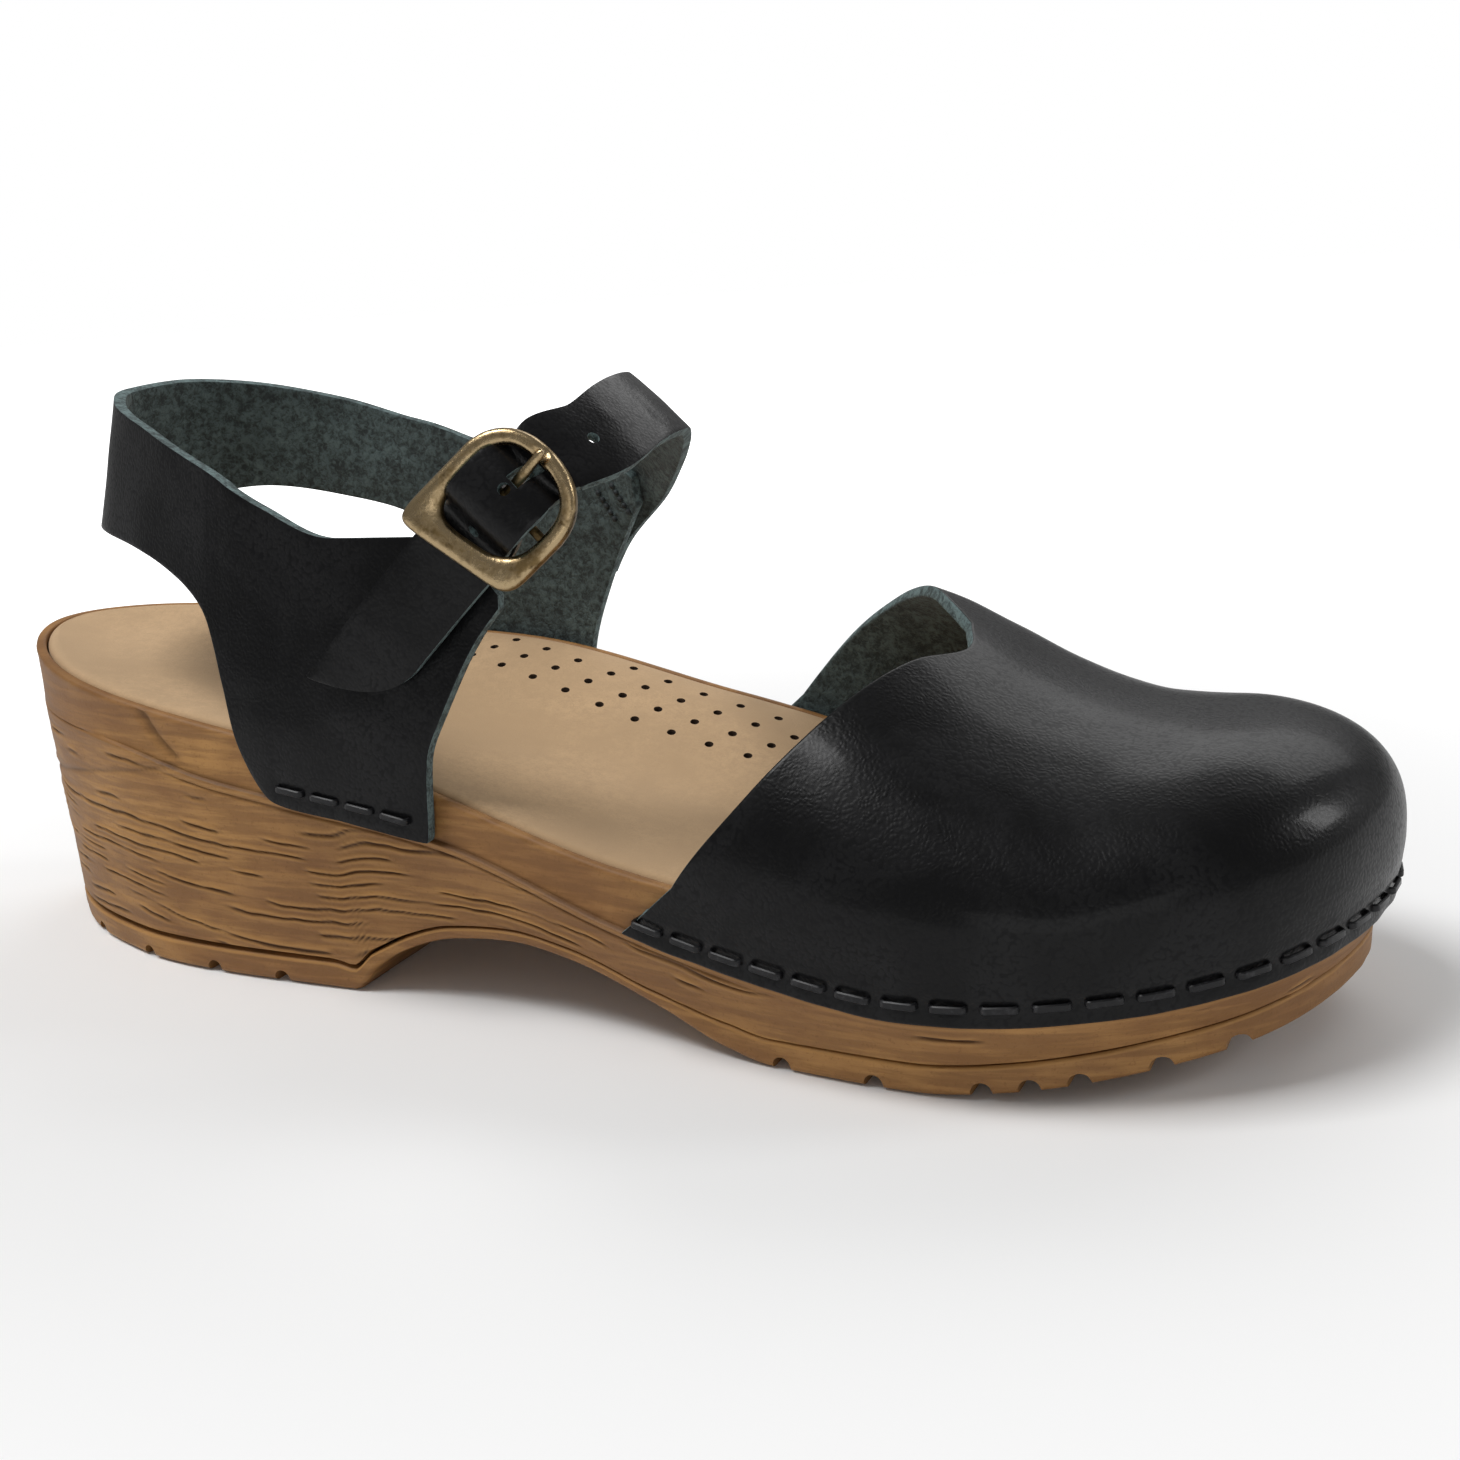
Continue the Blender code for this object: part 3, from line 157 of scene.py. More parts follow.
# Ankle strap and buckle
STRAP_HALF_WIDTH = 7.2
STRAP_PINCH = 0.7
STRAP_ACROSS = (0.731, 0.033, -0.682)
STRAP_OVER_INSTEP = ((144.0, -26.0, 97.4), (144.9, -17.0, 99.8), (144.0, -6.0, 100.8),
                     (140.7, 5.0, 99.6), (134.2, 16.8, 94.8), (126.6, 27.6, 88.8),
                     (119.2, 35.2, 82.6), (112.2, 38.2, 76.8), (107.4, 39.4, 71.4),
                     (104.0, 40.0, 66.0))
STRAP_TIP_PATH = ((99.6, -41.0, 55.8), (108.3, -40.5, 64.6), (115.2, -39.8, 71.7))
STRAP_WAVE = ((-16.0, -4.9), (-12.5, -3.9), (-10.5, -3.6), (-8.8, -3.5), (-6.4, -2.0),
              (-4.5, 0.8), (-2.6, 2.1), (0.6, 2.5), (3.2, 2.0), (5.1, 0.5), (6.6, -2.0),
              (8.2, -2.85), (10.6, -4.1))
TIP_CURVE_LENGTH = 17.0
BUCKLE_CENTRE = (134.2, -38.8, 90.1)
BUCKLE_ALONG = (0.690, 0.300, 0.659)
FRAME_HALF_WIDTH = 11.1
FRAME_STRAIGHT = -12.4
FRAME_ARCH = 11.2
# The straight side stands a little askew, and the casting sits a little to one side
FRAME_SLANT = 0.22
FRAME_ASIDE = 0.8
FRAME_HALF_THICKNESS = 1.5
OPENING_HALF_WIDTH = 8.1
OPENING_STRAIGHT = -8.3
OPENING_ARCH = 8.5
BAR_ALONG = 0.3
BAR_HEIGHT = -0.7
# Places of the adjusting holes: along the buckle, and one free hole over the instep
HOLES_IN_BUCKLE = (-6.2, 1.9)
FREE_HOLE = (144.0, -26.0, 97.4)

TACK_CENTRES = ((117.2, 34.9, 79.2), (113.6, 35.3, 77.6))
TACK_DIRECTION = (0.5, 0.06, -0.86)
TACK_THROUGH = (0.05, 0.985, 0.16)
TACK_LENGTH = 7.4

STAPLE_CROWN = 5.2
STAPLE_ABOVE_EDGE = 3.2
STAPLE_FROM_THROAT = 5.6
OUTER_STAPLE_START = 86.8
INNER_STAPLE_START = 85.8
QUARTER_STAPLE_PITCH = 7.1
QUARTER_STAPLE_OUT = 1.05
UPPER_STAPLES = 38
QUARTER_STAPLES = 4


# ---------------------------------------------------------------- curves and surfaces

def smooth_value(table, at):
    """Monotone cubic through a table of (position, value)."""
    xs = np.array([row[0] for row in table], float)
    ys = np.array([row[1] for row in table], float)
    at = np.clip(np.asarray(at, float), xs[0], xs[-1])
    steps = np.diff(xs)
    slopes = np.diff(ys) / steps
    lean = np.zeros(len(xs))
    lean[0] = slopes[0]
    lean[-1] = slopes[-1]
    for i in range(1, len(xs) - 1):
        if slopes[i - 1] * slopes[i] > 0:
            before = 2 * steps[i] + steps[i - 1]
            after = steps[i] + 2 * steps[i - 1]
            lean[i] = (before + after) / (before / slopes[i - 1] + after / slopes[i])
    k = np.clip(np.searchsorted(xs, at, side="right") - 1, 0, len(xs) - 2)
    t = (at - xs[k]) / steps[k]
    return (ys[k] * (1 + 2 * t) * (1 - t) ** 2 + lean[k] * steps[k] * t * (1 - t) ** 2
            + ys[k + 1] * t * t * (3 - 2 * t) + lean[k + 1] * steps[k] * t * t * (t - 1))


def unit(vectors):
    vectors = np.asarray(vectors, float)
    return vectors / np.linalg.norm(vectors, axis=-1, keepdims=True)


def smooth_step(value, low, high):
    t = np.clip((np.asarray(value, float) - low) / (high - low), 0.0, 1.0)
    return t * t * (3 - 2 * t)


def bump(value, width):
    """Bell curve, 1 where value is 0."""
    return np.exp(-(np.asarray(value, float) / width) ** 2)


def smooth_path(points, count, closed=False):
    """Cubic spline through points, sampled evenly along its length."""
    knots = np.array(points, float)
    if closed:
        knots = np.vstack([knots, knots[:1]])
    gaps = np.sqrt(np.linalg.norm(np.diff(knots, axis=0), axis=1))
    at = np.concatenate([[0.0], np.cumsum(gaps)])
    n = len(knots)
    steps = np.diff(at)
    system = np.zeros((n, n))
    right = np.zeros((n, knots.shape[1]))
    for i in range(1, n - 1):
        system[i, i - 1:i + 2] = (steps[i - 1], 2 * (steps[i - 1] + steps[i]), steps[i])
        right[i] = 6 * ((knots[i + 1] - knots[i]) / steps[i]
                        - (knots[i] - knots[i - 1]) / steps[i - 1])
    if closed:
        system[0, 0] = 2 * (steps[0] + steps[-1])
        system[0, 1] = steps[0]
        system[0, n - 2] = steps[-1]
        right[0] = 6 * ((knots[1] - knots[0]) / steps[0] - (knots[0] - knots[-2]) / steps[-1])
        system[n - 1, 0] = 1
        system[n - 1, n - 1] = -1
    else:
        system[0, 0] = 1
        system[n - 1, n - 1] = 1
    bend = np.linalg.solve(system, right)
    fine = np.linspace(0, at[-1], 2001)
    k = np.clip(np.searchsorted(at, fine, side="right") - 1, 0, n - 2)
    h = steps[k][:, None]
    left = (at[k + 1] - fine)[:, None]
    past = (fine - at[k])[:, None]
    curve = (bend[k] * left ** 3 / (6 * h) + bend[k + 1] * past ** 3 / (6 * h)
             + (knots[k] / h - bend[k] * h / 6) * left
             + (knots[k + 1] / h - bend[k + 1] * h / 6) * past)
    length = np.concatenate([[0.0], np.cumsum(np.linalg.norm(np.diff(curve, axis=0), axis=1))])
    wanted = np.linspace(0, length[-1], count)
    return np.stack([np.interp(wanted, length, curve[:, i]) for i in range(curve.shape[1])], 1)


def soft_noise(points, seed):
    """Smooth random value from -1 to 1 at each point, about one swing per unit."""
    points = np.asarray(points, float)
    cell = np.floor(points).astype(np.int64)
    part = points - cell
    part = part * part * (3 - 2 * part)
    total = np.zeros(points.shape[:-1])
    for corner in itertools.product((0, 1), repeat=3):
        key = cell + np.array(corner)
        mixed = (key[..., 0] * 73856093) ^ (key[..., 1] * 19349663) ^ (key[..., 2] * 83492791)
        mixed = (mixed ^ (seed * 40503)) & 0xFFFFFFFF
        mixed = ((mixed ^ (mixed >> 13)) * 1274126177) & 0xFFFFFFFF
        mixed = (mixed ^ (mixed >> 16)) & 0xFFFFFF
        share = np.where(np.array(corner), part, 1 - part).prod(axis=-1)
        total += share * (mixed / 0x7FFFFF - 1)
    return total


# ---------------------------------------------------------------- shape of the last and sole

def rim_sides():
    """Outer and inner half of the rim from heel to toe, with outward directions."""
    loop = smooth_path((HEEL_BACK, *OUTER_RIM, TOE_TIP, *INNER_RIM), 1601, closed=True)
    ahead = np.roll(loop[:-1], -1, axis=0) - np.roll(loop[:-1], 1, axis=0)
    out = unit(np.stack([ahead[:, 1], -ahead[:, 0]], 1))
    loop = loop[:-1]
    toe = int(np.argmin(np.linalg.norm(loop - np.array(TOE_TIP), axis=1)))
    outer = np.arange(0, toe + 1)
    inner = np.concatenate([[0], np.arange(len(loop) - 1, toe - 1, -1)])
    return (loop[outer], out[outer]), (loop[inner], out[inner])


OUTER_SIDE, INNER_SIDE = rim_sides()


def side_points(side, x):
    """Rim points and outward directions where one side reaches each x."""
    line, out = side
    order = np.argsort(line[:, 0])
    x = np.atleast_1d(np.asarray(x, float))
    point = np.stack([x, np.interp(x, line[order, 0], line[order, 1])], 1)
    direction = np.stack([np.interp(x, line[order, 0], out[order, i]) for i in (0, 1)], 1)
    return point, unit(direction)


def along_line(line, out, wanted):
    """Points and outward directions at given lengths along a line."""
    length = np.concatenate([[0], np.cumsum(np.linalg.norm(np.diff(line, axis=0), axis=1))])
    wanted = np.asarray(wanted) * length[-1]
    point = np.stack([np.interp(wanted, length, line[:, i]) for i in (0, 1)], 1)
    direction = np.stack([np.interp(wanted, length, out[:, i]) for i in (0, 1)], 1)
    return point, unit(direction)


def rim_ring(count):
    """Ring of points round the rim, out to the toe on the outer side and back on the inner."""
    share = np.linspace(0, 1, count + 1)
    outer, outer_out = along_line(*OUTER_SIDE, share)
    inner, inner_out = along_line(*INNER_SIDE, share)
    return (np.vstack([outer[:-1], inner[:0:-1]]), np.vstack([outer_out[:-1], inner_out[:0:-1]]))


def arch_raise(x, y):
    return smooth_value(ARCH_RAISE, x) * smooth_step(y, -8.0, 30.0)


def rim_height(x, y):
    return smooth_value(RIM_HEIGHT, x) + arch_raise(x, y)


def seat_height(x, y):
    return smooth_value(SEAT_LINE, x) + 0.6 * arch_raise(x, y)


def bed_height(x, y, across):
    """Top of the insock; across runs from -1 at one rim to 1 at the other."""
    hollow = 2.2 * (1 - across ** 2) * (1 - 0.6 * smooth_step(x, 60.0, 150.0))
    pad = 1.2 * smooth_step(x, 120.0, 165.0) * (1 - across ** 2)
    return rim_height(x, y) + 0.5 - hollow + pad


def tread_top(x):
    return smooth_value(GROUND_LINE, x) + smooth_value(TREAD_THICKNESS, x)


def step_out(point):
    return SEAT_STEP * smooth_step(point[:, 0], 30.0, 48.0)


def base_shift(point, out, share):
    """Inward lean of the sole's side, share 0 at the seat line and 1 at the ground."""
    side = SIDE_TAPER * out[:, 1] ** 2
    back = BACK_TAPER * np.maximum(0.0, -out[:, 0]) ** 2
    toe = TOE_TAPER * np.maximum(0.0, out[:, 0]) ** 2
    return step_out(point) - (side + back + toe) * share


def ring_at(point, out, outset, height):
    """Ring of 3-D points, moved out from the rim; height is a function of x and y."""
    place = point + out * np.broadcast_to(outset, len(point))[:, None]
    return np.column_stack([place, height(place[:, 0], place[:, 1])])


def ring_faces(rings, count, first=0, closed=False):
    """Faces between rings of points; closed also joins the last ring to the first."""
    faces = []
    for k in range(rings if closed else rings - 1):
        low = first + k * count
        high = first + (k + 1) % rings * count
        for i in range(count):
            j = (i + 1) % count
            faces.append((low + i, low + j, high + j, high + i))
    return faces


def end_faces(rings, count, first=0):
    """One face over the first ring and one over the last."""
    last = first + (rings - 1) * count
    return [tuple(range(first, first + count)), tuple(range(last + count - 1, last - 1, -1))]


def prism_faces(first, count):
    return end_faces(2, count, first) + ring_faces(2, count, first)


def ladder(ring, columns, height, base, first):
    """Fill a ring with rows from side to side: inner points and faces."""
    count = len(ring)
    half = count // 2
    share = np.linspace(0, 1, columns + 1)[1:-1]
    left = ring[1:half]
    right = ring[:half:-1]
    x = left[:, :1] + (right - left)[:, :1] * share
    y = left[:, 1:2] + (right - left)[:, 1:2] * share
    z = height(x, y, np.broadcast_to(2 * share - 1, x.shape))
    points = np.stack([x, y, z], -1).reshape(-1, 3)
    inner = len(share)
    rows = [[first] * (columns + 1)]
    for i in range(1, half):
        start = base + (i - 1) * inner
        rows.append([first + i, *range(start, start + inner), first + count - i])
    rows.append([first + half] * (columns + 1))
    faces = []
    for upper, lower in zip(rows, rows[1:]):
        for j in range(columns):
            face = tuple(dict.fromkeys((upper[j], lower[j], lower[j + 1], upper[j + 1])))
            faces.append(face)
    return points, faces


def closed_body(rings, columns, first_height, last_height):
    """Rings joined by faces, with the first and the last one filled from side to side."""
    count = len(rings[0])
    points = np.vstack(rings)
    faces = ring_faces(len(rings), count)
    for first, height in ((0, first_height), (len(points) - count, last_height)):
        extra, fill = ladder(points[first:first + count], columns, height, len(points), first)
        points = np.vstack([points, extra])
        faces.extend(fill)
    return points, faces


# ---------------------------------------------------------------- making objects

def clear_name(name):
    old = bpy.data.objects.get(name)
    if old is not None:
        bpy.data.objects.remove(old)


def new_object(name, mesh):
    clear_name(name)
    made = bpy.data.objects.new(name, mesh)
    bpy.context.scene.collection.objects.link(made)
    return made


def shade(mesh, sharp_degrees=50.0):
    mesh.shade_smooth()
    mesh.set_sharp_from_angle(angle=math.radians(sharp_degrees))


def new_piece(name, points, faces, looks, weld=True, values=None):
    """Object from points in the heel's own millimetres, welded, facing out, in the frame.

    A list of values that runs short is filled up with zeros.
    """
    mesh = bpy.data.meshes.new(name)
    placed = (np.asarray(points, float) + SHIFT) * MM
    mesh.from_pydata(placed.tolist(), [], faces)
    for label, numbers in (values or {}).items():
        filled = np.zeros(len(placed), np.float32)
        filled[:len(numbers)] = numbers
        mesh.attributes.new(label, "FLOAT", "POINT").data.foreach_set("value", filled)
    shape = bmesh.new()
    shape.from_mesh(mesh)
    if weld:
        bmesh.ops.remove_doubles(shape, verts=shape.verts, dist=0.00001)
        bmesh.ops.dissolve_degenerate(shape, edges=shape.edges, dist=0.000002)
    bmesh.ops.recalc_face_normals(shape, faces=shape.faces)
    shape.to_mesh(mesh)
    shape.free()
    for look in looks:
        mesh.materials.append(look)
    shade(mesh)
    return new_object(name, mesh)


def freeze(made):
    """Turn the modified shape into a plain mesh and drop the modifiers."""
    depsgraph = bpy.context.evaluated_depsgraph_get()
    mesh = bpy.data.meshes.new_from_object(made.evaluated_get(depsgraph))
    if not mesh.vertices:
        raise RuntimeError(f"{made.name} came out empty")
    made.modifiers.clear()
    made.data = mesh
    return made


def face_away(made, centre):
    """Turn an open skin so that its faces look away from a point inside it."""
    middle = (np.array(centre) + SHIFT) * MM
    shape = bmesh.new()
    shape.from_mesh(made.data)
    away = sum(f.calc_area() * (np.array(f.calc_center_median()) - middle) @ np.array(f.normal)
               for f in shape.faces)
    if away < 0:
        bmesh.ops.reverse_faces(shape, faces=shape.faces)
    shape.to_mesh(made.data)
    shape.free()


def grid_faces(rows, columns):
    return [(i * columns + j, i * columns + j + 1, (i + 1) * columns + j + 1,
             (i + 1) * columns + j) for i in range(rows - 1) for j in range(columns - 1)]


def leather_piece(name, grid, thickness, looks, centre, cut_width=0.32, cutter=None):
    """Leather cut from a curved sheet: grain side out, flesh side in, softened cut edges."""
    rows, columns = grid.shape[:2]
    made = new_piece(name, grid.reshape(-1, 3), grid_faces(rows, columns), looks)
    if centre is not None:
        face_away(made, centre)
    solid = made.modifiers.new("hide", "SOLIDIFY")
    solid.thickness = thickness * MM
    solid.offset = -1.0
    solid.use_even_offset = True
    solid.material_offset = 1
    solid.material_offset_rim = 2
    if cutter is not None:
        cut = made.modifiers.new("holes", "BOOLEAN")
        cut.operation = "DIFFERENCE"
        cut.solver = "EXACT"
        cut.use_self = True
        cut.object = cutter
    soft = made.modifiers.new("cut_edge", "BEVEL")
    soft.width = cut_width * MM
    soft.segments = 2
    soft.limit_method = "ANGLE"
    soft.angle_limit = math.radians(55.0)
    soft.use_clamp_overlap = True
    freeze(made)
    shade(made.data, 60.0)
    return made


def follow(made, body, slot, *nodes):
    """Join a finished piece to its body and hide the nodes it stands for; the slot argument is not
    used.
    """
    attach(made, body)
    if nodes:
        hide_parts(*nodes)
    return made


# ---------------------------------------------------------------- finishes

WHITE = (1.0, 1.0, 1.0, 1.0)


def feed(tree, node, inputs):
    """Link or set a node's inputs."""
    for key, value in (inputs or {}).items():
        socket = node.inputs[key]
        if isinstance(value, bpy.types.NodeSocket):
            tree.links.new(value, socket)
        else:
            socket.default_value = value
    return node


def put(tree, kind, inputs=None, **settings):
    """Add a node, set its options, and link or set its inputs."""
    made = tree.nodes.new(kind)
    for key, value in settings.items():
        setattr(made, key, value)
    return feed(tree, made, inputs)


def maths(tree, operation, first, second):
    return put(tree, "ShaderNodeMath", {0: first, 1: second}, operation=operation).outputs[0]


def times(tree, first, second):
    return maths(tree, "MULTIPLY", first, second)


def plus(tree, first, second):
    return maths(tree, "ADD", first, second)


def vector_maths(tree, operation, first, second):
    return put(tree, "ShaderNodeVectorMath", {0: first, 1: second}, operation=operation).outputs[0]


def blend_colour(tree, factor, first, second, mode="MIX"):
    return put(tree, "ShaderNodeMix", {0: factor, 6: first, 7: second}, data_type="RGBA",
               blend_type=mode).outputs[2]


def ramp(tree, factor, low, high):
    """Smooth 0 to 1 as factor goes from low to high."""
    return put(tree, "ShaderNodeMapRange", {"Value": factor, "From Min": low, "From Max": high},
               interpolation_type="SMOOTHSTEP").outputs["Result"]


def between(tree, factor, low, high):
    """Straight line from low to high as factor goes from 0 to 1."""
    return put(tree, "ShaderNodeMapRange",
               {"Value": factor, "To Min": low, "To Max": high}).outputs["Result"]


def noise(tree, where, scale, detail=3.0, rough=0.55, stretch=None, **more):
    if stretch is not None:
        where = vector_maths(tree, "MULTIPLY", where, stretch)
    return put(tree, "ShaderNodeTexNoise", {"Vector": where, "Scale": scale, "Detail": detail,
                                            "Roughness": rough, **more}).outputs["Fac"]


def node_group(kind, name, inputs, outputs):
    """Empty node group: its tree, the sockets it is given and the sockets of its result."""
    tree = bpy.data.node_groups.new(name, kind)
    for label, socket, *value in inputs:
        made = tree.interface.new_socket(label, in_out="INPUT", socket_type=f"NodeSocket{socket}")
        if value:
            made.default_value = value[0]
    for label, socket in outputs:
        tree.interface.new_socket(label, in_out="OUTPUT", socket_type=f"NodeSocket{socket}")
    return tree, tree.nodes.new("NodeGroupInput").outputs, tree.nodes.new("NodeGroupOutput").inputs


def make_hide_grain():
    """Pebbled grain of smooth leather with softer swells under it."""
    tree, given, result = node_group(
        "ShaderNodeTree", "hide_grain",
        (("Place", "Vector"), ("Pebbles per Metre", "Float", 900.0), ("Swell", "Float", 0.5)),
        (("Height", "Float"), ("Crease", "Float")))
    where = given["Place"]
    wobble = put(tree, "ShaderNodeTexNoise", {"Vector": where, "Scale": 260.0, "Detail": 2.0})
    shove = vector_maths(tree, "MULTIPLY", wobble.outputs["Color"], (0.0022,) * 3)
    cells = put(tree, "ShaderNodeTexVoronoi",
                {"Vector": vector_maths(tree, "ADD", where, shove),
                 "Scale": given["Pebbles per Metre"], "Smoothness": 0.6},
                feature="SMOOTH_F1").outputs["Distance"]
    swell = times(tree, noise(tree, where, 210.0, 4.0, 0.6), given["Swell"])
    height = plus(tree, times(tree, ramp(tree, cells, 0.75, 0.1), 0.5), swell)
    tree.links.new(height, result["Height"])
    tree.links.new(ramp(tree, cells, 0.45, 0.8), result["Crease"])
    return tree


def make_nap():
    """Short ruffled fibres of a flesh side or a buffed surface."""
    tree, given, result = node_group(
        "ShaderNodeTree", "nap",
        (("Place", "Vector"), ("Fibres per Metre", "Float", 1500.0), ("Patch", "Float", 120.0)),
        (("Height", "Float"), ("Tone", "Float")))
    where = given["Place"]
    fine = noise(tree, where, given["Fibres per Metre"], 3.0, 0.7, Distortion=0.8)
    middle = noise(tree, where, 520.0, 3.0, 0.6)
    broad = noise(tree, where, given["Patch"], 4.0, 0.65)
    both = plus(tree, times(tree, fine, 0.6), times(tree, middle, 0.4))
    tone = plus(tree, times(tree, both, 0.78), times(tree, broad, 0.22))
    tree.links.new(both, result["Height"])
    tree.links.new(ramp(tree, tone, 0.4, 0.6), result["Tone"])
    return tree


def make_blotches():
    """Uneven dye and rub: a mask of soft patches."""
    tree, given, result = node_group(
        "ShaderNodeTree", "blotches",
        (("Place", "Vector"), ("Patches per Metre", "Float", 60.0), ("Low", "Float", 0.4),
         ("High", "Float", 0.65)), (("Mask", "Float"),))
    pattern = noise(tree, given["Place"], given["Patches per Metre"], 5.0, 0.62, Distortion=0.6)
    tree.links.new(ramp(tree, pattern, given["Low"], given["High"]), result["Mask"])
    return tree


def make_rubbed():
    """Rubbed high spots: a wear value kept on the mesh, broken up by fine noise."""
    tree, given, result = node_group(
        "ShaderNodeTree", "rubbed",
        (("Place", "Vector"), ("Wear", "Float", 0.0), ("Break Up", "Float", 0.5)),
        (("Mask", "Float"),))
    rough = noise(tree, given["Place"], 900.0, 4.0, 0.65)
    shift = times(tree, maths(tree, "SUBTRACT", rough, 0.5), given["Break Up"])
    tree.links.new(ramp(tree, plus(tree, given["Wear"], shift), 0.3, 0.75), result["Mask"])
    return tree


GROUPS = {}


def effect(tree, name, inputs):
    """Use one of the shared effects in a finish; gives its results."""
    if name not in GROUPS:
        GROUPS[name] = {"hide_grain": make_hide_grain, "nap": make_nap, "blotches": make_blotches,
                        "rubbed": make_rubbed}[name]()
    return put(tree, "ShaderNodeGroup", node_tree=GROUPS[name], inputs=inputs).outputs


def blotches(tree, where, per_metre, low=0.4, high=0.65):
    return effect(tree, "blotches", {"Place": where, "Patches per Metre": per_metre,
                                     "Low": low, "High": high})["Mask"]


def start_finish(name):
    """New material: its tree, its shader and the object's own coordinates."""
    made = bpy.data.materials.new(name)
    made.use_nodes = True
    tree = made.node_tree
    shader = tree.nodes["Principled BSDF"]
    where = tree.nodes.new("ShaderNodeTexCoord").outputs["Object"]
    return made, tree, shader, where


def set_relief(tree, shader, height, depth, strength):
    made = put(tree, "ShaderNodeBump", {"Height": height, "Distance": depth,
                                        "Strength": strength})
    tree.links.new(made.outputs["Normal"], shader.inputs["Normal"])


def kept_value(tree, name):
    return put(tree, "ShaderNodeAttribute", attribute_name=name).outputs["Fac"]


def tint(colour, *factors):
    """Opaque colour, times one factor or times one each for red, green and blue."""
    return (*(np.array(colour[:3]) * (factors or 1.0)), 1.0)


def grain_leather(size):
    """Smooth black leather with a low gloss and a fine pebble."""
    made, tree, shader, where = start_finish("black_grain_leather")
    grain = effect(tree, "hide_grain", {"Place": where, "Pebbles per Metre": 1500.0,
                                        "Swell": 0.3})
    patches = blotches(tree, where, 45.0)
    light = tint([c * 1.9 + 0.002 for c in size.leather_colour])
    shaded = blend_colour(tree, patches, tint(size.leather_colour), light)
    gloss = between(tree, patches, size.leather_roughness, size.leather_roughness + 0.07)
    feed(tree, shader, {
        "Base Color": blend_colour(tree, grain["Crease"], shaded, (0.002, 0.002, 0.0025, 1.0)),
        "Roughness": plus(tree, gloss, times(tree, grain["Crease"], 0.1)),
        "Specular IOR Level": 0.12, "Coat Roughness": 0.14, "Coat Weight": 0.12})
    set_relief(tree, shader, grain["Height"], 0.00012, 0.5)
    return made


def flesh_leather(size):
    """Blue-green dyed flesh side with a ruffled nap."""
    made, tree, shader, where = start_finish("flesh_side")
    nap = effect(tree, "nap", {"Place": where, "Fibres per Metre": 1100.0, "Patch": 320.0})
    tone = blend_colour(tree, nap["Tone"], tint(size.flesh_colour, 0.22), tint(size.flesh_colour))
    rubbed = blend_colour(tree, blotches(tree, where, 70.0), (0.74, 0.74, 0.74, 1.0), WHITE)
    feed(tree, shader, {
        "Base Color": blend_colour(tree, 1.0, tone, rubbed, "MULTIPLY"),
        "Roughness": 0.92, "Sheen Weight": 0.12, "Sheen Roughness": 0.5})
    set_relief(tree, shader, nap["Height"], 0.0006, 0.8)
    return made


def napped(name, fibres, patch, dark, light, rough, depth):
    """Finish of short fibres in two tones, with one roughness and a relief."""
    made, tree, shader, where = start_finish(name)
    nap = effect(tree, "nap", {"Place": where, "Fibres per Metre": fibres, "Patch": patch})
    feed(tree, shader, {"Base Color": blend_colour(tree, nap["Tone"], dark, light),
                        "Roughness": rough})
    set_relief(tree, shader, nap["Height"], depth, 0.8)
    return made


def cut_leather(size):
    """Raw cut edge: fibres of the flesh colour, darker where the dye soaked in."""
    return napped("cut_edge", 1700.0, 260.0, tint(size.flesh_colour, 0.28),
                  tint(size.flesh_colour, 1.25), 0.85, 0.0004)


def dark_thread(_size):
    """Waxed thread, nearly black."""
    return napped("dark_thread", 3200.0, 500.0, (0.004, 0.005, 0.006, 1.0),
                  (0.03, 0.04, 0.042, 1.0), 0.7, 0.0001)


def footbed_foam(_size):
    """Dark foam that shows only through the perforations, also put on the perforations' walls as
    painted shade.
    """
    return napped("footbed_foam", 1600.0, 600.0, (0.02, 0.010, 0.005, 1.0),
                  (0.06, 0.032, 0.016, 1.0), 0.95, 0.0002)


def insock_leather(size):
    """Tan buffed leather of the footbed."""
    made, tree, shader, where = start_finish("tan_insock_leather")
    nap = effect(tree, "nap", {"Place": where, "Fibres per Metre": 1900.0, "Patch": 200.0})
    ground = blend_colour(tree, blotches(tree, where, 32.0, 0.3, 0.72), tint(size.insock_colour),
                          tint(size.insock_colour, 0.80))
    feed(tree, shader, {
        "Base Color": blend_colour(tree, nap["Tone"], tint(size.insock_colour, 0.84), ground),
        "Roughness": 0.82, "Sheen Weight": 0.10, "Specular IOR Level": 0.3})
    set_relief(tree, shader, nap["Height"], 0.00025, 0.6)
    return made


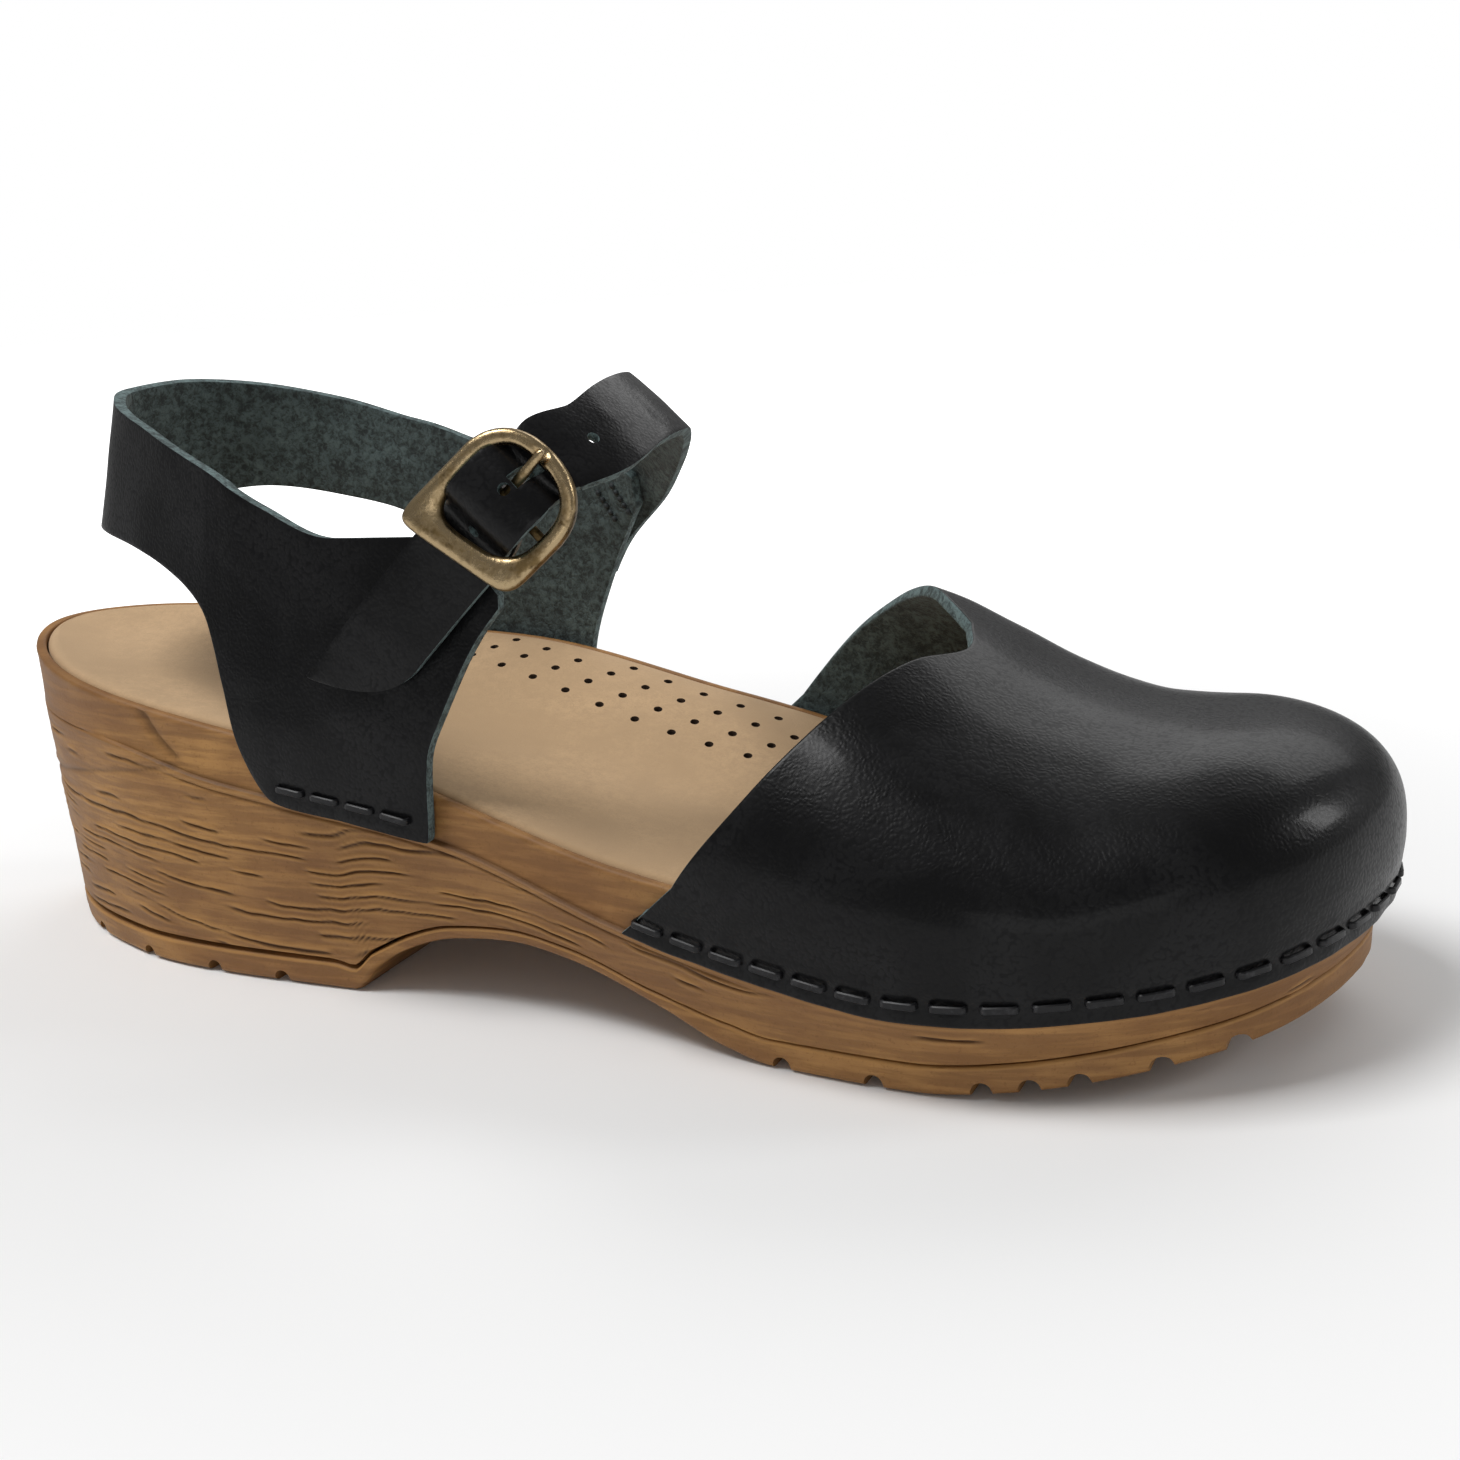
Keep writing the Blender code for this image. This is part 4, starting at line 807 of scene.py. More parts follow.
def moulded_wood(size):
    """Warm brown moulded sole: long soft fibres, dark checks with pale raised lips, and painted
    shade along its creases and just under the leather's edge.
    """
    made, tree, shader, where = start_finish("moulded_wood")
    base = size.wood_colour
    dark = tint(base, 0.50, 0.42, 0.34)
    pale = tint(base, 1.5, 1.6, 1.5)
    fibre = noise(tree, where, 1.0, 5.0, 0.6, (55.0, 55.0, 620.0))
    broad = noise(tree, where, 1.0, 4.0, 0.55, (22.0, 22.0, 90.0))
    speck = noise(tree, where, 1500.0, 2.0, 0.7)
    patches = blotches(tree, where, 38.0, 0.34, 0.7)
    colour = tint(base)
    for share, layer in ((ramp(tree, broad, 0.38, 0.66), pale),
                         (times(tree, patches, 0.6), tint(base, 0.72, 0.66, 0.6)),
                         (times(tree, ramp(tree, fibre, 0.62, 0.40), 0.5), dark),
                         (times(tree, ramp(tree, speck, 0.56, 0.72), 0.35), dark),
                         (times(tree, kept_value(tree, "lip"), 0.75), pale),
                         # The kept check value holds the dark checks and also painted shade along
                         # the creases and under the leather's edge
                         (kept_value(tree, "check"), tint(base, 0.16, 0.12, 0.1))):
        colour = blend_colour(tree, share, colour, layer)
    feed(tree, shader, {
        "Base Color": colour, "Specular IOR Level": 0.35,
        "Roughness": plus(tree, 0.46, times(tree, fibre, 0.22))})
    relief = plus(tree, times(tree, fibre, 0.7), times(tree, speck, 0.3))
    set_relief(tree, shader, relief, 0.0003, 0.7)
    return made


def antique_brass(size):
    """Cast brass, dark in the hollows and bright where it is rubbed."""
    made, tree, shader, where = start_finish("antique_brass")
    worn = effect(tree, "rubbed", {"Place": where, "Wear": kept_value(tree, "wear"),
                                   "Break Up": 0.9})["Mask"]
    base = size.brass_colour
    dull = blend_colour(tree, blotches(tree, where, 420.0, 0.45, 0.7),
                        tint(base, 0.62, 0.58, 0.5), tint(base, 0.16, 0.13, 0.1))
    feed(tree, shader, {
        "Base Color": blend_colour(tree, worn, dull, tint(base, 1.45, 1.5, 1.7)),
        "Metallic": 1.0, "Roughness": between(tree, worn, 0.48, 0.24)})
    set_relief(tree, shader, noise(tree, where, 1400.0, 4.0, 0.7), 0.00012, 0.5)
    return made


def black_wire(size):
    """Lacquered flat wire."""
    made, tree, shader, where = start_finish("black_staple_wire")
    scuffs = blotches(tree, where, 700.0, 0.5, 0.75)
    feed(tree, shader, {
        "Base Color": blend_colour(tree, scuffs, tint(size.wire_colour),
                                   (0.035, 0.035, 0.038, 1.0)),
        "Roughness": between(tree, scuffs, 0.34, 0.5), "Specular IOR Level": 0.3})
    return made


FINISHES = {}


def finish(name):
    """Each finish is made once, when it is first asked for."""
    makers = {"grain": grain_leather, "flesh": flesh_leather, "cut": cut_leather,
              "insock": insock_leather, "wood": moulded_wood, "brass": antique_brass,
              "wire": black_wire, "thread": dark_thread, "foam": footbed_foam}
    if name not in FINISHES:
        FINISHES[name] = makers[name](bpy.context.scene.clog)
    return FINISHES[name]


def leather_looks():
    return [finish("grain"), finish("flesh"), finish("cut")]


# ---------------------------------------------------------------- sole

def check_pattern(points):
    """Dark checks and their raised lips on the wood-look side, and how deep they press."""
    x, y, z = points.T
    bend = 0.25 * smooth_value(GROUND_LINE, x) + 0.5 * smooth_value(SEAT_LINE, x)
    wander = (1.7 * soft_noise(points / (34.0, 34.0, 14.0), 11)
              + 0.55 * soft_noise(points / (9.0, 9.0, 6.0), 12)
              + 0.22 * soft_noise(points / (2.6, 2.6, 3.0), 13))
    spacing = 2.7
    turn = (z - bend + wander) / spacing
    number = np.round(turn)
    off = (turn - number) * spacing
    heel = smooth_step(x, 118.0, 92.0) * smooth_step(z, 37.0, 29.0)
    shank = smooth_step(x, 84.0, 100.0) * smooth_step(x, 178.0, 150.0)
    lots = 0.42 * heel + 0.22 * shank - 0.2
    place = np.column_stack([x / 9.0, y / 9.0, number * 5.3 + 0.5])
    shown = smooth_step(soft_noise(place, 14) + lots, 0.05, 0.35)
    width = 0.22 + 0.12 * soft_noise(points / (3.0, 3.0, 3.0), 15)
    check = shown * bump(off, np.maximum(0.15, width))
    lip = shown * np.maximum(bump(off - 0.6, 0.36), 0.7 * bump(off + 0.6, 0.34))
    return check, lip


def crease_pattern(points):
    """The mould's own lines: the crease round the heel, the crescent and the seat's edge."""
    x, y, z = points.T
    back = bump(z - smooth_value(BACK_CREASE, x), 0.42) * smooth_step(x, 66.0, 50.0)
    back = back * (0.6 + 0.4 * smooth_step(soft_noise(points / (6.0, 6.0, 30.0), 21), -0.3, 0.2))
    notch = bump(z - 31.0, 0.9) * smooth_step(x, 9.0, 1.0)
    sweep = (x - smooth_value(CRESCENT, z)) * 0.75
    deep = smooth_step(z, 41.0, 44.0) * smooth_step(z, 53.5, 50.0)
    crescent = bump(sweep, 0.75) * deep
    below = seat_height(x, y) - z
    seam = bump(below - 1.9, 0.24) * smooth_step(x, 52.0, 62.0) * smooth_step(x, 182.0, 160.0)
    return back, notch, crescent, seam


def sole_side(size):
    """Rings of the sole unit from the tray, over the lip, down the side to the outsole."""
    point, out = rim_ring(size.sole_stations)
    rings = []

    def add(outset, height):
        rings.append(ring_at(point, out, outset, height))
    add(-RIM_WIDTH, lambda x, y: rim_height(x, y) - TRAY_DEPTH)
    for outset, drop in ((-1.9, 0.5), (-1.85, 0.2), (-1.6, 0.03), (-1.2, 0.0), (-0.8, 0.02),
                         (-0.4, 0.16), (-0.15, 0.42), (0.0, 0.9)):
        add(outset, lambda x, y, drop=drop: rim_height(x, y) - drop)
    band = 12
    for k in range(1, band + 1):
        share = k / band
        add(-0.15 * math.sin(math.pi * share) ** 0.5,
            lambda x, y, s=share: ((rim_height(x, y) - 0.9) * (1 - s)
                                   + (seat_height(x, y) - 0.15) * s))
    add(step_out(point) - 0.25, lambda x, y: seat_height(x, y) - 0.32)
    for share in np.linspace(0, 0.97, size.side_levels):
        def height(x, y, share=share):
            top = seat_height(x, y) - 0.6
            foot = tread_top(x)
            return np.maximum(top + (foot - top) * share, foot + GAP + 0.1)
        add(base_shift(point, out, share), height)
    return out, rings


def side_relief(size, ring):
    """How far one ring of the side stands out, how dark and how pale it is: dark checks with pale
    lips, and painted shade along the creases and just under the leather's edge.
    """
    x = ring[:, 0]
    below = seat_height(x, ring[:, 1]) - ring[:, 2]
    clear = smooth_step(below, 0.8, 3.5)
    check, lip = (pattern * clear for pattern in check_pattern(ring))
    back, notch, crescent, seam = crease_pattern(ring)
    fibre = soft_noise(ring / (16.0, 16.0, 0.9), 31) * 0.035
    swell = soft_noise(ring / (13.0, 13.0, 5.0), 32) * 0.10
    depth = (-size.check_depth / MM * check + 0.20 * lip - 0.35 * back - 0.8 * notch
             - 0.85 * crescent - 0.35 * seam + fibre + swell * clear)
    # Painted shade: the heel crease, the crescent, the seam below the seat and a line just under
    # the leather's edge are darkened on top of the checks
    dark = (check + 0.6 * back + 0.55 * crescent + 0.45 * seam
            + 0.55 * bump(below - 0.25, 0.3) * smooth_step(x, 40, 55))
    pale = lip + 0.5 * bump(below - 1.1, 0.35) * smooth_step(x, 52, 62)
    return depth, np.clip(dark, 0, 1), np.clip(pale, 0, 1)


def tray_floor(x, y, across):
    hollow = 2.2 * (1 - across ** 2) * (1 - 0.6 * smooth_step(x, 60.0, 150.0))
    return rim_height(x, y) - TRAY_DEPTH - hollow


def make_sole(size):
    """Sole unit with its tray and its pressed wood-look side."""
    out, rings = sole_side(size)
    normal = np.column_stack([out, np.zeros(len(out))])
    checks = [np.zeros(len(out))] * PLAIN_RINGS
    lips = list(checks)
    for k in range(PLAIN_RINGS, len(rings)):
        depth, check, lip = side_relief(size, rings[k])
        if k < len(rings) - 1:
            rings[k] = rings[k] + normal * depth[:, None]
        checks.append(check)
        lips.append(lip)
    points, faces = closed_body(rings, 10, tray_floor, lambda x, _y, _across: tread_top(x) + GAP)
    # Its check value carries the dark checks and the painted shade of the side's creases
    return new_piece("sole", points, faces, [finish("wood")],
                     values={"check": np.concatenate(checks), "lip": np.concatenate(lips)})


def make_tread_cutter(size):
    """Row of round-bottomed grooves across the outsole."""
    points = []
    faces = []
    steps = 10
    half = 0.5 * size.groove_width / MM
    for x in TREAD_GROOVES:
        level = float(smooth_value(GROUND_LINE, x))
        outline = [(x - half - 0.8, level - 4.0), (x + half + 0.8, level - 4.0)]
        for k in range(steps + 1):
            angle = math.pi * k / steps
            outline.append((x + half * math.cos(angle),
                            level + size.groove_depth / MM * math.sin(angle) ** 0.7))
        faces.extend(prism_faces(len(points), len(outline)))
        for y in (-70.0, 70.0):
            points.extend((a, y, z) for a, z in outline)
    return new_piece("tread_cutter", points, faces, [finish("wood")], weld=False)


def make_outsole(size):
    """Wearing layer with a rough side and cross grooves."""
    point, out = rim_ring(size.sole_stations)
    count = len(point)
    rings = [ring_at(point, out, base_shift(point, out, 0.97) - 0.3, lambda x, y: tread_top(x)),
             ring_at(point, out, base_shift(point, out, 0.97), lambda x, y: tread_top(x) - 0.25)]
    for share in np.linspace(0.0, 1.0, 14):
        rings.append(ring_at(
            point, out, base_shift(point, out, 0.98 + 0.02 * share) + 0.12 - 0.12 * share,
            lambda x, y, s=share: (tread_top(x) - 0.5) * (1 - s)
            + (smooth_value(GROUND_LINE, x) + 1.1) * s))
    for inset, rise in ((0.15, 0.7), (0.5, 0.35), (1.0, 0.1), (1.7, 0.0)):
        rings.append(ring_at(point, out, base_shift(point, out, 1.0) - inset,
                             lambda x, y, r=rise: smooth_value(GROUND_LINE, x) + r))
    normal = np.column_stack([out, np.zeros(count)])
    for k in range(2, len(rings) - 3):
        ring = rings[k]
        rough = 0.10 * soft_noise(ring / (6.0, 6.0, 1.4), 41)
        rough = rough + 0.07 * soft_noise(ring / (1.6, 1.6, 1.6), 42)
        rings[k] = ring + normal * rough[:, None]
    lip = np.zeros(3 * count)
    lip[count:] = 0.8
    points, faces = closed_body(rings, 12, lambda x, _y, _across: tread_top(x),
                                lambda x, _y, _across: smooth_value(GROUND_LINE, x))
    made = new_piece("outsole_tread", points, faces, [finish("wood")],
                     values={"check": [], "lip": lip})
    cutter = make_tread_cutter(size)
    cut = made.modifiers.new("grooves", "BOOLEAN")
    cut.operation = "DIFFERENCE"
    cut.solver = "EXACT"
    cut.object = cutter
    freeze(made)
    bpy.data.objects.remove(cutter)
    shade(made.data, 40.0)
    return made


# ---------------------------------------------------------------- footbed

def geometry_tree(name, *inputs):
    """Geometry node tree with a mesh in and out and named inputs after the mesh."""
    mesh = ("Geometry", "Geometry")
    return node_group("GeometryNodeTree", name, (mesh, *inputs), (mesh,))


def run_tree(made, tree, values):
    """Hang a node tree on an object with its inputs set, then make its result real."""
    step = made.modifiers.new(tree.name, "NODES")
    step.node_group = tree
    for item in tree.interface.items_tree:
        if item.in_out == "INPUT" and item.name in values:
            step[item.identifier] = values[item.name]
    return freeze(made)


def node_out(tree, kind, output, inputs=None, **settings):
    return put(tree, kind, inputs, **settings).outputs[output]


def painted(tree, mesh, look):
    return node_out(tree, "GeometryNodeSetMaterial", "Geometry",
                    {"Geometry": mesh, "Material": look})


def point_cloud(name, points, vectors=None):
    """Bare points that a node tree puts things on."""
    mesh = bpy.data.meshes.new(name)
    mesh.from_pydata(((np.asarray(points, float) + SHIFT) * MM).tolist(), [], [])
    for label, rows in (vectors or {}).items():
        layer = mesh.attributes.new(label, "FLOAT_VECTOR", "POINT")
        layer.data.foreach_set("vector", np.asarray(rows, np.float32).ravel())
    return new_object(name, mesh)


def punch_tree():
    """Round punches on the points, taken out of the mesh."""
    tree, given, result = geometry_tree("punched_holes", ("Places", "Object"),
                                        ("Radius", "Float"), ("Lining", "Material"))
    places = node_out(tree, "GeometryNodeObjectInfo", "Geometry", {"Object": given["Places"]})
    punch = node_out(tree, "GeometryNodeMeshCylinder", "Mesh",
                     {"Vertices": 16, "Radius": given["Radius"], "Depth": 0.012})
    # Painted shade: the punches carry this material onto the walls of the holes they cut
    many = node_out(tree, "GeometryNodeInstanceOnPoints", "Instances",
                    {"Points": places, "Instance": painted(tree, punch, given["Lining"])})
    real = node_out(tree, "GeometryNodeRealizeInstances", "Geometry", {"Geometry": many})
    cut = put(tree, "GeometryNodeMeshBoolean", operation="DIFFERENCE", solver="EXACT")
    tree.links.new(given["Geometry"], cut.inputs[0])
    tree.links.new(real, cut.inputs[1])
    tree.links.new(cut.outputs[0], result[0])
    return tree


def perforations(size):
    """Five slanting rows of holes along the inner side of the footbed."""
    line, _out = INNER_SIDE
    order = np.argsort(line[:, 0])
    pitch = size.perforation_pitch / MM
    places = []
    for row in range(5):
        for x in np.arange(87.0 + (row * pitch / 3) % pitch, 158.0, pitch):
            y = 12.0 + 5.0 * row + 0.002 * (150.0 - x) * abs(150.0 - x)
            if y < np.interp(x, line[order, 0], line[order, 1]) - RIM_WIDTH - 4.2:
                places.append((x, y, float(rim_height(x, y))))
    return places


def make_insock(size):
    """Thin leather tray, its edge rolled over, with the perforations punched through."""
    point, out = rim_ring(size.sole_stations)
    edge = -(RIM_WIDTH + GAP)
    inner = edge - INSOCK_THICKNESS

    def floor(x, y):
        return rim_height(x, y) - TRAY_DEPTH + GAP

    def level(rise):
        return lambda x, y: rim_height(x, y) + rise
    steps = [(inner - 1.2, level(0.2 - INSOCK_THICKNESS)), (inner, level(-0.9 - INSOCK_THICKNESS)),
             (inner, floor), (edge, floor), (edge, level(-1.3))]
    for turn in np.linspace(0, math.pi / 2, 9)[1:]:
        steps.append((edge - 1.5 * (1 - math.cos(turn)), level(-1.3 + 1.62 * math.sin(turn))))
    rings = [ring_at(point, out, outset, height) for outset, height in steps]

    def top(x, y, across):
        ends = smooth_step(x, 1.0, 18.0) * smooth_step(x, 261.0, 246.0)
        dent = 0.25 * soft_noise(np.stack([x / 17.0, y / 14.0, x * 0], -1), 51)
        edge_height = rim_height(x, y) + 0.5
        dish = bed_height(x, y, across) - edge_height + dent * (1 - across ** 2)
        return edge_height + dish * ends

    def under(x, y, across):
        return top(x, y, across) - INSOCK_THICKNESS
    points, faces = closed_body(rings, 40, under, top)
    made = new_piece("insock", points, faces, [finish("insock"), finish("foam")])
    places = point_cloud("perforation_places", perforations(size))
    # The perforations' walls get the dark foam finish as painted shade, so the holes read dark
    run_tree(made, punch_tree(), {"Places": places, "Radius": 0.5 * size.perforation_width,
                                  "Lining": finish("foam")})
    bpy.data.objects.remove(places)
    shade(made.data, 45.0)
    return made


# ---------------------------------------------------------------- leather upper

def upper_point(foot, out, crown, level):
    """Outer face of the closed toe; level 0 at its lower edge, 1 at the crown."""
    base = foot + out * (GAP + LEATHER)
    low = seat_height(foot[:, 0], foot[:, 1])
    rim = rim_height(foot[:, 0], foot[:, 1]) + 2.0
    bulge = out * TOE_BULGE
    share = level / 0.2
    turn = np.clip((level - 0.2) / 0.8, 0, 1) * math.pi / 2
    round_toe = 1.0 - TOE_FULLNESS * smooth_step(foot[:, 0], 218.0, 252.0)
    side = base + bulge * smooth_step(share, 0, 1)[:, None]
    top_plan = base + bulge + (crown - base - bulge) * (1 - np.cos(turn) ** round_toe)[:, None]
    over = level >= 0.2
    plan = np.where(over[:, None], top_plan, side)
    top = np.maximum(smooth_value(CROWN_HEIGHT, plan[:, 0]), rim + 5.0)
    z = np.where(over, rim + (top - rim) * np.sin(turn) ** round_toe, low + (rim - low) * share)
    return np.column_stack([plan, z])


def upper_grid(size):
    """Columns from the outer throat edge round the toe to the inner throat edge."""
    levels = np.concatenate([np.linspace(0, 0.2, 24), np.linspace(0.2, 1, 48)[1:]])
    shares = np.linspace(0, 1, size.upper_columns)
    halves = []
    for side, throat in ((OUTER_SIDE, THROAT_OUTER), (INNER_SIDE, THROAT_INNER)):
        start = smooth_value(throat, levels)
        x = (start + (TOE_POLE_X - start) * shares[:, None]).ravel()
        level = np.broadcast_to(levels, (len(shares), len(levels))).ravel()
        foot, out = side_points(side, x)
        crown = np.column_stack([x, smooth_value(CROWN_MIDDLE, x)])
        flank = upper_point(foot, out, crown, level).reshape(len(shares), len(levels), 3)
        line, away = side
        part = line[:, 0] > TOE_POLE_X
        foot, out = along_line(line[part], away[part], np.linspace(0, 1, 54)[1:])
        pole = np.array((TOE_POLE_X, float(smooth_value(CROWN_MIDDLE, TOE_POLE_X))))
        number = len(foot)
        foot = np.repeat(foot, len(levels), axis=0)
        out = np.repeat(out, len(levels), axis=0)
        crown = np.broadcast_to(pole, foot.shape)
        fan = upper_point(foot, out, crown, np.tile(levels, number))
        halves.append(np.concatenate([flank, fan.reshape(number, len(levels), 3)]))
    return np.concatenate([halves[0], halves[1][-2::-1]])


def grid_normals(grid):
    along = np.gradient(grid, axis=0)
    up = np.gradient(grid, axis=1)
    normal = np.cross(along, up)
    size = np.linalg.norm(normal, axis=-1, keepdims=True)
    return normal / np.maximum(size, 1e-6)


def outward_normals(grid, centre):
    normal = grid_normals(grid)
    away = ((grid - np.array(centre)) * normal).sum()
    return normal if away > 0 else -normal


def staple_dents(grid, staples, depth):
    """How far the leather is pulled in under each staple, with a pucker round it."""
    total = np.zeros(grid.shape[:2])
    for centre, tangent, out in staples:
        offset = grid - centre
        near = np.linalg.norm(offset, axis=-1) < 12.0
        along = offset[near] @ tangent
        up = offset[near] @ np.cross(out, tangent)
        pressed = np.exp(-(along / 2.9) ** 4 - (up / 1.15) ** 2)
        legs = np.exp(-((np.abs(along) - 2.6) / 0.8) ** 2 - (up / 1.0) ** 2)
        pucker = np.exp(-(along / 2.4) ** 2 - ((np.abs(up) - 2.3) / 0.9) ** 2)
        total[near] += -depth * (pressed + 0.7 * legs) + 0.38 * depth * pucker
    return total


def make_vamp(size):
    """Closed toe, with slow waves in the leather and a dent under every staple."""
    grid = upper_grid(size)
    normal = outward_normals(grid, (200.0, 0.0, 30.0))
    level = np.linspace(0, 1, grid.shape[1])
    calm = 1 - smooth_step(level, 0.86, 0.97)
    wave = (0.34 * soft_noise(grid / (26.0, 26.0, 20.0), 61)
            + 0.10 * soft_noise(grid / (8.0, 8.0, 7.0), 62))
    edge = 0.22 * soft_noise(grid / (5.0, 5.0, 9.0), 63) * bump(level, 0.12)
    dents = staple_dents(grid, upper_staple_frames(), size.staple_bite / MM)
    grid = grid + normal * ((wave + edge) * calm + dents)[..., None]
    return leather_piece("vamp_leather", grid, LEATHER, leather_looks(), (200.0, 0.0, 30.0), 0.45)


def quarter_columns(count):
    """Evenly spaced columns of the heel strap and quarters."""
    table = np.array(QUARTER_COLUMNS, float)
    gaps = np.linalg.norm(np.diff(table * QUARTER_WEIGHTS, axis=0), axis=1)
    at = np.concatenate([[0.0], np.cumsum(gaps)])
    wanted = np.linspace(0, at[-1], count)
    return np.stack([smooth_value(tuple(zip(at, table[:, i])), wanted) for i in range(6)], 1)


def quarter_grid(size):
    columns = quarter_columns(size.quarter_columns)
    share = np.linspace(0, 1, 30)
    z = columns[:, 4:5] + (columns[:, 5] - columns[:, 4])[:, None] * share
    t = (z - QUARTER_LOW_Z) / (QUARTER_HIGH_Z - QUARTER_LOW_Z)
    t = 0.5 * (t + np.sqrt(t * t + 0.004))
    x = columns[:, 2:3] + (columns[:, 0] - columns[:, 2])[:, None] * t
    y = columns[:, 3:4] + (columns[:, 1] - columns[:, 3])[:, None] * t
    return np.stack([x, y, z], -1)


def make_quarters(size):
    """Heel strap with its two quarters, in one piece of leather."""
    grid = quarter_grid(size)
    normal = outward_normals(grid, (70.0, 0.0, 70.0))
    low = smooth_step(grid[..., 2], 34.0, 52.0)
    wave = (0.35 * soft_noise(grid / (21.0, 21.0, 17.0), 64)
            + 0.12 * soft_noise(grid / (7.0, 7.0, 6.0), 65)) * low
    dents = 0
    for side in (OUTER_SIDE, INNER_SIDE):
        dents = dents + staple_dents(grid, quarter_staple_frames(side), size.staple_bite / MM)
    grid = grid + normal * (wave + dents)[..., None]
    return leather_piece("quarter_leather", grid, LEATHER, leather_looks(), (70.0, 0.0, 70.0),
                         0.42)


# ---------------------------------------------------------------- strap and buckle

ALONG = unit(BUCKLE_ALONG)
ACROSS = unit(np.array(STRAP_ACROSS) - ALONG * (np.array(STRAP_ACROSS) @ ALONG))
OUT = np.cross(ACROSS, ALONG)


def buckle_point(along, across, out):
    along, across, out = np.broadcast_arrays(along, across, out)
    return (np.array(BUCKLE_CENTRE) + ALONG * along[..., None] + ACROSS * across[..., None]
            + OUT * out[..., None])


def strap_lines():
    """Path of the strap, its directions across and out, and its two edges."""
    wave = [buckle_point(along, 0.0, out) for along, out in STRAP_WAVE]
    path = smooth_path((*STRAP_TIP_PATH, *wave, *STRAP_OVER_INSTEP), 640)
    ahead = unit(np.gradient(path, axis=0))
    across = np.array(STRAP_ACROSS)
    across = unit(across - ahead * (ahead @ across)[:, None])
    normal = np.cross(across, ahead)
    local = np.linalg.norm(path - np.array(BUCKLE_CENTRE), axis=1)
    pinch = STRAP_PINCH * smooth_step(local, 3.5, 6.0) * (1 - smooth_step(local, 8.4, 11.2))
    length = np.concatenate([[0.0], np.cumsum(np.linalg.norm(np.diff(path, axis=0), axis=1))])
    curve = np.clip(1 - length / TIP_CURVE_LENGTH, 0, 1)
    high = STRAP_HALF_WIDTH - pinch - 1.86 * STRAP_HALF_WIDTH * curve ** 2.4
    return path, ahead, across, normal, -STRAP_HALF_WIDTH + pinch, high


def strap_bend():
    """Where the strap's free end starts to bend away, and where it has left the buckle."""
    path, ahead, _across, normal, _low, _high = strap_lines()
    cut = int(np.argmax((path - np.array(BUCKLE_CENTRE)) @ ALONG > -14.6))
    hinge = path[cut] + normal[cut] * 0.5 * STRAP_LEATHER
    down = -ahead[cut]
    return ((point + SHIFT) * MM for point in (hinge - down * 3.0, hinge + down * 6.0))


def drill(points, faces, centre, axis, radius, depth, sides=20):
    """Add one round drill to a helper mesh."""
    axis = unit(axis)
    side = unit(np.cross(axis, (0.3, 0.9, 0.2)))
    other = np.cross(axis, side)
    faces.extend(prism_faces(len(points), sides))
    for end in (-depth, depth):
        for k in range(sides):
            angle = 2 * math.pi * k / sides
            points.append(centre + axis * end + radius * (side * math.cos(angle)
                                                          + other * math.sin(angle)))


def strap_drills(size):
    """Adjusting holes, and the slit the prong comes up through."""
    path, _ahead, _across, normal, _low, _high = strap_lines()
    points = []
    faces = []
    along = (path - np.array(BUCKLE_CENTRE)) @ ALONG
    radius = 0.5 * size.strap_hole / MM
    inside = np.linalg.norm(path - np.array(BUCKLE_CENTRE), axis=1) < 16.0
    for wanted in HOLES_IN_BUCKLE:
        k = int(np.argmin(np.where(inside, np.abs(along - wanted), 99.0)))
        drill(points, faces, path[k], normal[k], radius, 2.4)
    k = int(np.argmin(np.linalg.norm(path - np.array(FREE_HOLE), axis=1)))
    drill(points, faces, path[k], normal[k], radius, 2.4)
    faces.extend(prism_faces(len(points), 4))
    for across in (-1.3, 1.3):
        for a, o in ((3.0, -1.6), (8.2, -1.6), (7.0, 4.6), (3.9, 4.6)):
            points.append(buckle_point(a, across, o))
    return new_piece("strap_drills", np.array(points), faces, [finish("cut")], weld=False)


def make_strap(size):
    """Ankle strap from its free end through the buckle and over the instep."""
    path, _ahead, across, normal, low, high = strap_lines()
    share = np.linspace(0, 1, 18)
    at = low[:, None] + (high - low)[:, None] * share
    crown = 0.25 * (1 - (2 * share - 1) ** 2)
    grid = (path[:, None] + across[:, None] * at[..., None]
            + normal[:, None] * (0.5 * STRAP_LEATHER - 0.2 + crown)[None, :, None])
    ripple = 0.18 * soft_noise(grid / 9.0, 66) + 0.07 * soft_noise(grid / 3.0, 67)
    clear = smooth_step(np.linalg.norm(path - np.array(BUCKLE_CENTRE), axis=1), 12.0, 18.0)
    grid = grid + normal[:, None] * (ripple * clear[:, None])[..., None]
    if (grid_normals(grid) * normal[:, None]).sum() < 0:
        grid = grid[:, ::-1]
    cutter = strap_drills(size)
    made = leather_piece("ankle_strap_leather", grid, STRAP_LEATHER - 0.1, leather_looks(), None,
                         0.4, cutter)
    bpy.data.objects.remove(cutter)
    return made


def rounded(half_along, half_across, power, angle):
    """Points of a squared-off oval; a higher power gives tighter corners."""
    c = np.cos(angle)
    s = np.sin(angle)
    return np.stack([half_along * np.sign(c) * np.abs(c) ** (2 / power),
                     half_across * np.sign(s) * np.abs(s) ** (2 / power)], -1)


